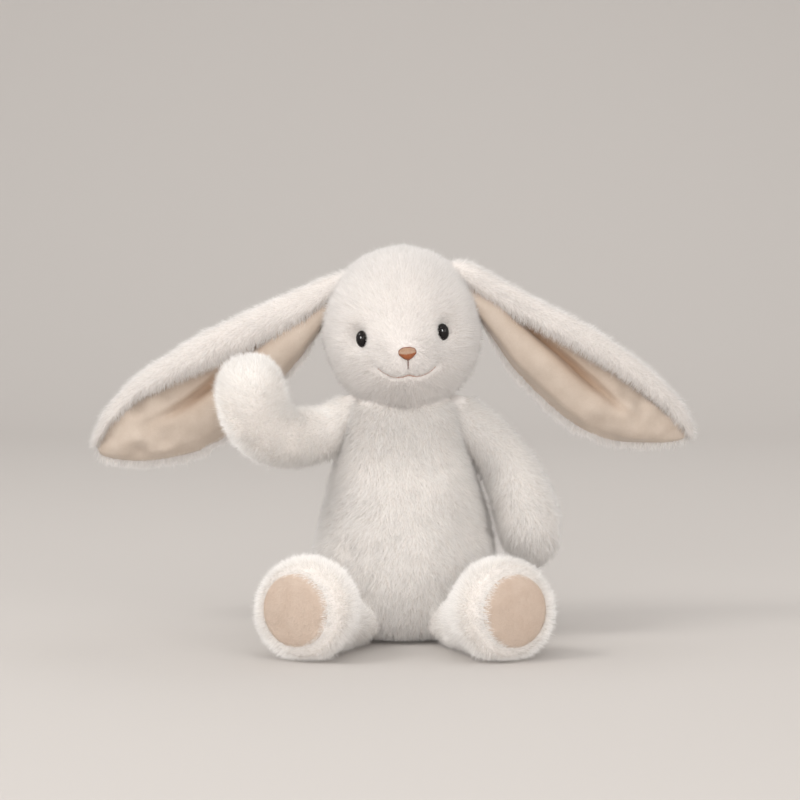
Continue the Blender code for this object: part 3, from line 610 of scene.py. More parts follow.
def face_keep(p):
    """Leaves the pile off under the eyes and the nose."""
    q = roll_in(p)
    ok = np.ones(len(p), bool)
    for s in (-1, 1):
        rel = q - EYE_AT[s]
        across = unit(np.cross((0, 0, 1.0), EYE_OUT[s]))
        u, v = rel @ across, rel[:, 2]
        ok &= ~(((u / (EYE_W + 0.5)) ** 2 + (v / (EYE_H + 0.5)) ** 2 < 1) & (np.abs(rel @ EYE_OUT[s]) < 9))
    ok &= ~((((q[:, 0] - NOSE_AT[0]) / (NOSE_W - 0.4)) ** 2 + ((q[:, 2] - NOSE_AT[1]) / (NOSE_H - 0.2)) ** 2 < 1) & (q[:, 1] < 0))
    return ok


def face_shade(p):
    """More of the pile throws shade in the eye pockets and along the mouth."""
    q = roll_in(p)
    e = np.minimum(*[np.linalg.norm(q - EYE_AT[s] - np.array((s * 2.0, 0.0, 1.5)), axis=1) for s in (-1, 1)])
    mouth_at = np.hypot(0.75 * (q[:, 0] - 2.0), q[:, 2] + 19.0)
    low = smooth(20.0, 8.0, mouth_at) * smooth(0.0, -20.0, q[:, 1])
    return np.minimum(1.0, 0.22 + 0.78 * smooth(12.0, 6.0, e) + 0.75 * low + 0.36 * smooth(16.0, 36.0, q[:, 2]))


head_fur = grow("head_pile", head, 3.6, HEAD_FUR_SHADED, 101, width=0.27, lean=0.80, clump=1.7, pull=0.34, swirl=0.34, droop=0.02, keep=face_keep, shade=face_shade)

# eyes: smooth domes set in the sockets
for side, s in (("left", 1), ("right", -1)):
    nrm = EYE_OUT[s]
    sv = unit(np.cross((0, 0, 1.0), nrm))
    up = np.cross(nrm, sv)
    c = EYE_AT[s] - nrm * 3.7
    prof = [(0.86, -4.6), (0.95, -2.0), (1.0, 0.0)] + [(math.cos(q), EYE_DOME * math.sin(q)) for q in np.linspace(0.12, 1.45, 16)]
    az = np.linspace(0, 2 * math.pi, 64, endpoint=False)
    rows = [[c + sv * (EYE_W * k * math.cos(q)) + up * (EYE_H * k * math.sin(q)) + nrm * h for q in az] for k, h in prof]
    rows = roll_out(np.array(rows).reshape(-1, 3)).reshape(len(prof), 64, 3)
    verts, faces = grid(rows, True, roll_out(c - nrm * 4.6)[0], roll_out(c + nrm * EYE_DOME)[0])
    ob = add_mesh("eye_%s_dome" % side, verts, outward(verts, faces), EYE)
    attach(ob, "head")
    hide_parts("eye_" + side)


# threads and nose
def tube(path, radius, n=10, twist=0.0):
    """Rows of a tube along a path; radius may vary."""
    path = np.asarray(path, float)
    radius = np.broadcast_to(np.asarray(radius, float), (len(path),))
    t = unit(np.gradient(path, axis=0))
    ref = np.array((0.0, -1.0, 0.05))
    u = unit(np.cross(t, ref))
    v = np.cross(u, t)
    a = np.linspace(0, 2 * math.pi, n, endpoint=False)
    rows = []
    for i in range(len(path)):
        ph = a + twist * i
        lobe = 1 + 0.16 * np.cos(2 * a) if twist else 1.0
        rows.append(path[i] + (np.cos(ph)[:, None] * u[i] + np.sin(ph)[:, None] * v[i]) * radius[i] * np.broadcast_to(lobe, a.shape)[:, None])
    return np.array(rows)


def tubes(name, list_of_rows, mat):
    vs, fs, off = [], [], 0
    for rows in list_of_rows:
        v, f = grid(rows, True, rows[0].mean(0), rows[-1].mean(0))
        f = outward(v, f)
        vs.append(v)
        fs.append(f + off)
        off += len(v)
    return add_mesh(name, np.vstack(vs), np.vstack(fs), mat)


smile = smile_line(90)
path = roll_out(on_front(smile[:, 0], smile[:, 1], -INSET + 0.35))
taper = np.sin(np.linspace(0.06, 1, 90) * math.pi * 0.94) ** 0.3
mouth = tubes("mouth_thread", [tube(path, 0.43 * taper, 12, 0.55)], MOUTH)
phil = np.array([(2.0, -15.4), (1.95, -17.2), (1.85, -19.0), (1.75, -20.6), (1.7, -22.0)])
phil = spline(np.linspace(0, 1, 5), phil, np.linspace(0, 1, 36))
path = roll_out(on_front(phil[:, 0], phil[:, 1], np.linspace(0.1, -0.6, 36)))
philtrum = tubes("philtrum_thread", [tube(path, 0.33, 12, 0.55)], PHILTRUM)

az = np.linspace(0, 2 * math.pi, 72, endpoint=False)
cx, cz = np.cos(az), np.sin(az)
NOSE_X = NOSE_W * np.sign(cx) * np.abs(cx) ** 0.8 * np.where(cz > 0, 1.0, 1.0 - 0.50 * np.abs(cz) ** 1.3)
NOSE_Z = NOSE_H * np.where(cz > 0, 0.85 * np.abs(cz) ** 0.85, 1.12 * cz)


def nose_height(k):
    return 0.1 + 2.1 * np.sqrt(np.clip(1 - k ** 2.4, 0, 1))


rows = [roll_out(on_front(NOSE_AT[0] + NOSE_X * 0.95, NOSE_AT[1] + NOSE_Z * 0.95, -3.0))]
for k in (1.0, 0.97, 0.9, 0.8, 0.65, 0.45, 0.22):
    rows.append(roll_out(on_front(NOSE_AT[0] + NOSE_X * k, NOSE_AT[1] + NOSE_Z * k, nose_height(k) - 0.25)))
verts, faces = grid(np.array(rows), True, roll_out(on_front(*NOSE_AT, -3.0))[0], roll_out(on_front(*NOSE_AT, 1.95))[0])
nose = add_mesh("nose_pad", verts, outward(verts, faces), NOSE)
# the upper stitches take the lighter colour: a painted sheen highlight on the top half of the nose
inside = np.linspace(-1.3, 1.0, 400)
lower, sheen_upper = [], []
for i, x in enumerate(np.linspace(-0.94, 0.94, 25)):
    lim = np.where(inside > 0, 1.0, 1.0 - 0.50 * np.minimum(1.0, np.abs(inside) / 1.12) ** 1.3)
    kx = (abs(x) / lim) ** 2.5 + (np.abs(inside) / np.where(inside > 0, 0.85, 1.12)) ** 2.3
    ok = inside[kx < 0.95]
    if len(ok) < 12:
        continue
    split = min(ok[-1], max(ok[0], -0.16 + 0.10 * abs(x) + 0.10 * rng(900 + i).rand()))
    for a_, b_, keep_in in ((split + 0.04, ok[0], lower), (ok[-1], split - 0.04, sheen_upper)):
        if a_ - b_ < 0.12:
            continue
        zs = np.linspace(a_, b_, 16)
        kk = np.interp(zs, inside, kx) ** (1 / 2.4)
        q = on_front(np.full(16, NOSE_AT[0] + NOSE_W * x), NOSE_AT[1] + NOSE_H * zs, nose_height(np.clip(kk, 0, 1)) + 0.02)
        keep_in.append(tube(roll_out(q), 0.25 * (0.9 + 0.2 * rng(i).rand()), 8))
nose_low = tubes("nose_stitches", lower, NOSE)
nose_sheen_top = tubes("nose_painted_sheen_stitches", sheen_upper, NOSE_PAINTED_SHEEN)
loop = roll_out(on_front(NOSE_AT[0] + np.append(NOSE_X, NOSE_X[:1]) * 1.01, NOSE_AT[1] + np.append(NOSE_Z, NOSE_Z[:1]) * 1.01, 0.35))
nose_rim = tubes("nose_outline", [tube(loop, 0.46, 10, 0.4)], NOSE_EDGE)
for ob, slot in [(head_skin, "plush_white"), (mouth, "mouth_thread"), (philtrum, "mouth_thread"), (nose, "nose_thread"),
                 (nose_low, "nose_thread"), (nose_sheen_top, "nose_thread"), (nose_rim, "nose_thread")] + [(q, "plush_white") for q in head_fur]:
    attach(ob, "head")
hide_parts("head_cover")
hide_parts("mouth_stitch")
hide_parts("philtrum_stitch")
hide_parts("nose")

# --------------------------------------------------------------------- torso
TORSO = np.array([(0.0, 31.0, 29.0), (2.5, 41.0, 39.0), (9.0, 48.5, 46.5), (19.0, 53.0, 50.5),
                  (32.0, 54.8, 52.0), (46.0, 54.2, 51.2), (62.0, 51.6, 48.8), (78.0, 48.2, 46.0),
                  (93.0, 43.8, 42.5), (106.0, 39.8, 39.5), (118.0, 36.6, 36.8), (128.0, 34.6, 34.6),
                  (135.0, 33.2, 33.0), (141.0, 31.0, 31.0), (146.5, 26.0, 26.0), (150.0, 17.0, 17.0)])


def build_torso():
    """The body closes inside the head, so that no gap opens at the neck."""
    zs = np.concatenate([np.linspace(0.0, 9.0, 14), np.linspace(10.5, 132, 76), np.linspace(133, 150, 14)])
    r = spline(TORSO[:, 0], TORSO[:, 1:], zs)
    a = np.linspace(0, 2 * math.pi, 132, endpoint=False)
    square = 2.0 / (2.0 + 0.8 * smooth(70.0, 110.0, zs))[:, None]
    cx, cy = np.cos(a)[None], np.sin(a)[None]
    power = np.where(cy < 0, square, 1.0)
    rows = np.stack([r[:, :1] * np.sign(cx) * np.abs(cx) ** power, r[:, 1:] * np.sign(cy) * np.abs(cy) ** power, np.repeat(zs[:, None], 132, 1)], -1)
    verts, faces = grid(rows, True, (0, 0, 0), (0, 0, 151.0))
    faces = outward(verts, faces)
    s = Surf(verts, faces)
    v = s.v - s.n * INSET + s.n * (0.8 * noise(s.v, 26.0, 3) + 0.3 * noise(s.v, 9.0, 4))[:, None]
    v[:, 2] = np.maximum(v[:, 2], 0.7)
    v[-2] = (0, 0, 0.7)
    return Surf(v, faces)


torso = build_torso()
torso.flow = np.tile(np.array((0.0, 0.0, -1.0)), (len(torso.v), 1)) + 0.35 * unit(torso.v * np.array((1, 1, 0)))
torso.len = np.full(len(torso.v), 6.4) * (0.75 + 0.25 * smooth(3.0, 16.0, torso.v[:, 2]))
torso.dens = np.where(torso.v[:, 2] < 1.2, 0.0, 1.0) * np.where(torso.v[:, 2] > np.where(torso.v[:, 1] < -8.0, 141.0, 148.0), 0.0, 1.0)
torso_skin = add_mesh("torso_skin", torso.v, torso.f, BACKING)

LEG_L0, LEG_R0 = np.array((33.0, -56.5, 17.0)), np.array((-33.0, -56.5, 17.0))
TAIL_C = np.array((0.0, 65.0, 33.0))


def torso_keep(p):
    ok = np.ones(len(p), bool)
    for c, r in ((np.array((36.0, -1.5, 128.0)), 12.0), (np.array((-36.0, -3.5, 131.0)), 11.0), (LEG_L0, 13.0), (LEG_R0, 13.0), (TAIL_C, 15.5)):
        ok &= np.linalg.norm(p - c, axis=1) > r
    return ok


def torso_shade(p):
    """More of the pile throws shade on itself under the chin."""
    return 0.20 + 0.75 * smooth(100.0, 126.0, p[:, 2]) * smooth(0.0, -18.0, p[:, 1])


torso_fur = grow("torso_pile", torso, 3.1, FUR, 201, keep=torso_keep, clump=3.0, pull=0.52, swirl=0.6, shade=torso_shade)
for ob in [torso_skin] + torso_fur:
    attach(ob, "torso")
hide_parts("torso_cover")


# --------------------------------------------------------------------- limbs
class Line:
    """Smooth centreline with frames carried along it."""

    def __init__(self, pts):
        p = np.asarray(pts, float)
        p = np.vstack([2 * p[0] - p[1], p, 2 * p[-1] - p[-2]])
        out = []
        for i in range(1, len(p) - 2):
            t = np.linspace(0, 1, 24, endpoint=False)[:, None]
            out.append(0.5 * (2 * p[i] + (p[i + 1] - p[i - 1]) * t + (2 * p[i - 1] - 5 * p[i] + 4 * p[i + 1] - p[i + 2]) * t ** 2 +
                              (3 * p[i] - p[i - 1] - 3 * p[i + 1] + p[i + 2]) * t ** 3))
        self.p = np.vstack(out + [p[-2:-1]])
        self.s = np.append(0, np.cumsum(np.linalg.norm(np.diff(self.p, axis=0), axis=1)))
        self.t = unit(np.gradient(self.p, axis=0))
        u = np.cross(self.t[0], (0, 0, 1.0) if abs(self.t[0][2]) < 0.9 else (0, 1.0, 0))
        us = []
        for t in self.t:
            u = unit(u - t * (u @ t))
            us.append(u)
        self.u = np.array(us)

    def at(self, s):
        s = np.atleast_1d(np.asarray(s, float))
        c = np.stack([np.interp(s, self.s, self.p[:, k]) for k in range(3)], 1)
        t = unit(np.stack([np.interp(s, self.s, self.t[:, k]) for k in range(3)], 1))
        u = np.stack([np.interp(s, self.s, self.u[:, k]) for k in range(3)], 1)
        c = c + t * (np.minimum(s, 0) + np.maximum(s - self.s[-1], 0))[:, None]
        u = unit(u - t * (u * t).sum(1, keepdims=True))
        return c, t, u, np.cross(t, u)


def limb_surface(line, ball, radii, tip, seed, low=None, open_tip=False, n=72, lump=0.7, relax=None):
    """Rows along a limb: ball root, tube and rounded end. Returns the surface and each vertex's distance."""
    a0 = np.linspace(0.16, math.pi / 2, 12)[:-1]
    prof = [(-ball * math.cos(a), ball * math.sin(a)) for a in a0]
    knots = [(0.0, ball)] + list(radii) + ([] if open_tip else [(tip, 0.0)])
    ks = np.array(knots)
    if open_tip:
        ss = np.linspace(0, ks[-1, 0], 54)
        rr = spline(ks[:, 0], ks[:, 1], ss)
    else:
        body = ks[:-1]
        ss1 = np.linspace(0, body[-1, 0], 52)
        rr1 = spline(body[:, 0], body[:, 1], ss1)
        ss, rr = ss1, rr1
    prof += list(zip(ss, rr))
    prof = np.array(prof)
    c, t, u, v = line.at(prof[:, 0])
    a = np.linspace(0, 2 * math.pi, n, endpoint=False)
    rows = c[:, None] + prof[:, 1][:, None, None] * (np.cos(a)[None, :, None] * u[:, None] + np.sin(a)[None, :, None] * v[:, None])
    if relax is not None:
        # the cloth eases out of the crook of a bend
        ease = (smooth(relax[0], relax[0] + 12, prof[:, 0]) * smooth(relax[1], relax[1] - 12, prof[:, 0]))[1:-1, None, None]
        for _ in range(24):
            rows[1:-1] += 0.5 * ease * ((rows[:-2] + rows[2:]) / 2 - rows[1:-1])
    if low is not None:
        rows[..., 2] = np.maximum(rows[..., 2], low)
    end = None if open_tip else line.at(tip)[0][0]
    verts, faces = grid(rows, True, line.at(-ball)[0][0], end)
    faces_o = outward(verts, faces)
    s = Surf(verts, faces_o)
    nv = s.v - s.n * INSET + s.n * (lump * noise(s.v, 17.0, seed))[:, None]
    if low is not None:
        nv[:, 2] = np.maximum(nv[:, 2], 0.7)
    out = Surf(nv, faces_o)
    along = np.repeat(prof[:, 0], n)
    tang = np.repeat(t, n, axis=0)
    extra = len(verts) - len(along)
    along = np.append(along, [-ball] + ([] if open_tip else [tip]))[: len(verts)]
    tang = np.vstack([tang] + [t[0]] + ([] if open_tip else [t[-1]]))[: len(verts)]
    out.flow = tang.copy()
    return out, along


# each arm starts inside the body and runs out through the shoulder seam
ARMS = {
    "left": ([(31.0, -1.0, 131.5), (48.5, -2.5, 117.5), (61.5, -5.0, 102.0), (69.0, -7.0, 86.0), (75.0, -8.0, 65.0), (81.5, -9.0, 43.0)],
             [(0, 15.4), (10, 15.8), (22.5, 16.3), (32.5, 16.2), (43.5, 16.6), (57.5, 17.6), (71.5, 18.7), (83.5, 18.7), (92.5, 16.3),
              (99.5, 11.6), (104.0, 6.0)], 105.7, (38.0, -1.5, 126.0), (60.0, -4.7, 104.0), 301),
    "right": ([(-31.0, -3.0, 134.5), (-46.0, -6.0, 123.6), (-57.5, -9.5, 120.4), (-69.0, -16.5, 118.4), (-79.5, -26.0, 124.6),
               (-87.0, -34.5, 136.0), (-89.5, -41.0, 150.0), (-89.5, -45.0, 173.0)],
              [(0, 12.5), (9, 14.2), (17.5, 15.8), (27.5, 17.0), (37.5, 17.8), (48.5, 19.0), (59.5, 19.6), (71.5, 20.2), (84.5, 20.5),
               (93.5, 20.2), (100.5, 18.6), (106.6, 15.2), (111.2, 9.4)], 113.6, (-36.0, -4.0, 131.7), (-62.0, -12.0, 121.8), 321),
}
for side, (pts, radii, tip, start, end, seed) in ARMS.items():
    line = Line(pts)
    s, along = limb_surface(line, radii[0][1], radii[1:], tip, seed, relax=(18.0, 84.0) if side == "right" else None)
    s.len = 6.2 * (1 - 0.12 * smooth(tip - 22, tip, along))
    s.dens = smooth(-4.0, 1.0, along)
    s.flow = s.flow + np.array((0, 0, -0.15))
    skin = add_mesh("arm_%s_skin" % side, s.v, s.f, BACKING)
    under_ear = (lambda p: 0.20 + 0.55 * smooth(46.0, 14.0, np.linalg.norm(p - np.array((40.0, -6.0, 128.0)), axis=1))) if side == "left" else 0.20
    pile = grow("arm_%s_pile" % side, s, 3.3, FUR, seed + 1, clump=3.0, pull=0.54, swirl=0.6, shade=under_ear)
    for ob in [skin] + pile:
        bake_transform(ob)
    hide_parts("arm_%s_cover" % side)

# legs with flared feet and velour soles
LEG_LINE = [(21.0, -39.0, 13.0), (33.0, -56.5, 15.0), (42.5, -71.0, 20.5), (52.0, -86.0, 27.0), (59.0, -97.5, 29.0), (63.0, -104.5, 29.5)]
LEG_R = [(10, 12.0), (21.2, 13.8), (30.2, 16.0), (39.2, 18.8), (48.2, 22.9), (56.2, 27.2), (64.2, 29.3), (71.2, 28.4), (76.2, 25.6), (79.0, 21.6)]
LEG_END = 79.0
for side, sx, seed in (("left", 1, 401), ("right", -1, 431)):
    out_by = [0.0, 0.0, 0.7, 1.5, 2.4, 3.0] if side == "left" else [0.0] * 6
    line = Line([(sx * x + o, y - o, z - 0.15 * o) for (x, y, z), o in zip(LEG_LINE, out_by)])
    radii = [(q, r + (1.9 * math.exp(-((q - 37.0) / 13.0) ** 2) if side == "left" else 0.0)) for q, r in LEG_R]
    s, along = limb_surface(line, 11.5, radii, LEG_END, seed, low=0.0, open_tip=True)
    s.len = 6.4 * (1 - 0.15 * smooth(LEG_END - 7, LEG_END, along))
    s.dens = np.where(s.v[:, 2] < 1.3, 0.15, 1.0) * smooth(2.0, 9.0, along)
    skin = add_mesh("leg_%s_skin" % side, s.v, s.f, BACKING)
    pile = grow("leg_%s_pile" % side, s, 3.3, FUR, seed + 1, lean=0.70)
    c, t, u, v = [q[0] for q in line.at(LEG_END)]
    ring = np.linspace(0, 2 * math.pi, 96, endpoint=False)
    rows = []
    for k, h in ((1.05, -5.0), (1.06, -2.6), (1.03, -1.2), (0.99, -0.4), (0.94, 0.25), (0.86, 0.8), (0.74, 1.35), (0.6, 1.75), (0.44, 2.0),
                 (0.27, 2.15), (0.12, 2.2)):
        q = c + t * h + 19.8 * k * (np.cos(ring)[:, None] * u + np.sin(ring)[:, None] * v)
        q = q + t * (0.45 * noise(q, 10.0, seed + 5) * min(1.0, (1.06 - k) * 4))[:, None]
        rows.append(q)
    verts, faces = grid(np.array(rows), True, c - t * 5.0, c + t * 2.2)
    faces = outward(verts, faces)
    pad = add_mesh("sole_%s_pad" % side, verts, faces, PAD)
    ps = Surf(verts, faces)
    ps.flow = np.tile(np.array((0.0, 0.0, -1.0)), (len(verts), 1))
    ps.len = np.where((verts - c) @ t > -1.0, 1.2, 0.0)
    nap = grow("sole_%s_nap" % side, ps, 6.0, PAD_NAP, seed + 9, width=0.24, lean=0.9, clump=1.5, pull=0.3, droop=0.0, swirl=0.9)
    for ob in [skin] + pile:
        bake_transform(ob)
    for ob in [pad] + nap:
        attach(ob, "leg_" + side)
    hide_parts("leg_%s_cover" % side)
    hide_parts("foot_pad_%s" % side)

# tail
a = np.linspace(0, 2 * math.pi, 64, endpoint=False)
t = np.linspace(0.06, math.pi - 0.06, 40)
tt, aa = np.meshgrid(t, a, indexing="ij")
d = np.stack([np.sin(tt) * np.cos(aa), -np.cos(tt), np.sin(tt) * np.sin(aa)], -1)
rows = TAIL_C + d * (17.5 - INSET + 0.5 * noise(d.reshape(-1, 3) * 17.0, 12.0, 5).reshape(d.shape[:2]))[..., None]
verts, faces = grid(rows, True, TAIL_C - np.array((0, 15.0, 0)), TAIL_C + np.array((0, 15.0, 0)))
tail = Surf(verts, outward(verts, faces))
tail.flow = unit(tail.v - (TAIL_C - np.array((0, 20.0, 0)))) + np.array((0, 0, -0.5))
tail.len = np.full(len(tail.v), 7.2)
tail_skin = add_mesh("tail_skin", tail.v, tail.f, BACKING)
tail_fur = grow("tail_pile", tail, 3.1, FUR, 501, lean=0.6, swirl=0.8, keep=lambda p: p[:, 1] > TAIL_C[1] - 11.5)
for ob in [tail_skin] + tail_fur:
    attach(ob, "torso")
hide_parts("tail_cover")

# ---------------------------------------------------------------------- ears
# fold x, z; free edge x, z; back wall y; fold depth; lip length
EARS = {
    "right": [(-21, 209, -34, 190, 2.5, 8.0, 9.0), (-33, 216, -42, 190, 4.0, 9.0, 10.0), (-45, 213, -47, 184, 6.0, 11.0, 11.5),
              (-56, 208.5, -53, 175, 8.0, 12.5, 13.0), (-68, 203, -60, 165, 10.5, 13.5, 14.0), (-90, 193, -73, 148.5, 14.0, 14.0, 16.0),
              (-116, 180.5, -93, 125, 18.5, 14.0, 16.0), (-141, 166, -117, 107.5, 23.0, 13.0, 12.0),
              (-163.5, 150.5, -146, 99.5, 28.0, 11.0, 7.8), (-180, 133.0, -170, 98.5, 33.0, 8.5, 5.6),
              (-187.5, 120.0, -184, 102.5, 36.5, 7.0, 4.6), (-189.5, 113.5, -188.5, 107.5, 38.0, 5.2, 3.2)],
    "left": [(18, 213, 29, 196, 2.5, 8.0, 9.0), (29, 222.0, 38, 198, 4.0, 9.0, 10.0), (40, 220.5, 42, 191, 6.0, 11.0, 11.0),
             (50, 215, 48, 182, 8.0, 12.0, 11.2), (62, 208.5, 54, 172.5, 10.0, 12.5, 11.2), (84, 197, 64, 157, 13.5, 13.0, 11.2),
             (110, 183, 79.5, 140, 17.0, 13.0, 10.6), (136, 165.5, 98, 124.5, 20.0, 12.0, 8.8), (157, 147.5, 119, 113.5, 24.0, 10.0, 6.0),
             (169.5, 133, 145, 111, 28.0, 8.0, 4.4), (174.5, 124, 164, 112.5, 31.0, 6.0, 3.2), (176, 119.5, 174.5, 116.5, 32.0, 4.6, 2.2)],
}
FORWARD = np.array((0.0, -1.0, 0.0))


def ear_lines(rows, m=84, n=56):
    """Middle surface of the folded panel: points (m, n, 3), outward normals, and down directions. Columns run from the lip to the free edge."""
    rows = np.asarray(rows, float)
    st = np.linspace(0, 1, len(rows))
    u = np.linspace(0, 1, m) ** 0.9
    q = spline(st, rows, u)
    pts, nrm, downs, bends = [], [], [], []
    for tx, tz, bx, bz, y, depth, lip in q:
        top = np.array((tx, y, tz))
        down = np.array((bx - tx, 0, bz - tz))
        width = np.linalg.norm(down)
        down = down / width
        width -= 3.0 * min(1.0, width / 30.0)
        r = min(depth / 2, width * 0.40)
        lip = max(r + 0.4, min(lip, width * 0.8))
        line = [(lip, 2 * r - 1.4), (lip * 0.72 + r * 0.28, 2 * r + 0.1), (lip * 0.4 + r * 0.6, 2 * r + 0.5), (r, 2 * r)]
        for ang_ in (30, 60, 90, 120, 150):
            line.append((r - r * math.sin(math.radians(ang_)), r + r * math.cos(math.radians(ang_))))
        for k in range(8):
            f = k / 7
            line.append((r + (max(width, r + 0.6) - r) * f, 4.0 * min(1, width / 50) * math.sin(math.pi * f)))
        line = np.array(line)
        s = np.append(0, np.cumsum(np.linalg.norm(np.diff(line, axis=0), axis=1)))
        line = spline(s, line, np.linspace(0, s[-1], n))
        tang = unit(np.gradient(line, axis=0))
        out2 = np.stack([tang[:, 1], -tang[:, 0]], 1)
        pts.append(top + line[:, :1] * down + line[:, 1:] * FORWARD)
        nrm.append(out2[:, :1] * down + out2[:, 1:] * FORWARD)
        downs.append(np.tile(down, (n, 1)))
        bends.append(r)
    return np.array(pts), np.array(nrm), np.array(downs), np.array(bends), u


def panel(name, a, b, mat):
    """Closed sheet between two grids of points."""
    m, n = a.shape[:2]
    verts = np.vstack([a.reshape(-1, 3), b.reshape(-1, 3)])
    i, j = np.meshgrid(np.arange(m - 1), np.arange(n - 1), indexing="ij")
    i, j = i.ravel(), j.ravel()
    q = lambda x, y: x * n + y
    o = m * n
    faces = [np.stack([q(i, j), q(i, j + 1), q(i + 1, j + 1)], 1), np.stack([q(i, j), q(i + 1, j + 1), q(i + 1, j)], 1),
             np.stack([o + q(i, j), o + q(i + 1, j + 1), o + q(i, j + 1)], 1), np.stack([o + q(i, j), o + q(i + 1, j), o + q(i + 1, j + 1)], 1)]
    for e0, e1, rev in ([(q(k, 0), q(k + 1, 0), False) for k in range(m - 1)] + [(q(k, n - 1), q(k + 1, n - 1), True) for k in range(m - 1)] +
                        [(q(0, k), q(0, k + 1), True) for k in range(n - 1)] + [(q(m - 1, k), q(m - 1, k + 1), False) for k in range(n - 1)]):
        x, y = (e1, e0) if rev else (e0, e1)
        faces.append(np.array([[x, y, o + y], [x, o + y, o + x]]))
    faces = outward(verts, np.vstack(faces))
    return add_mesh(name, verts, faces, mat), verts, faces


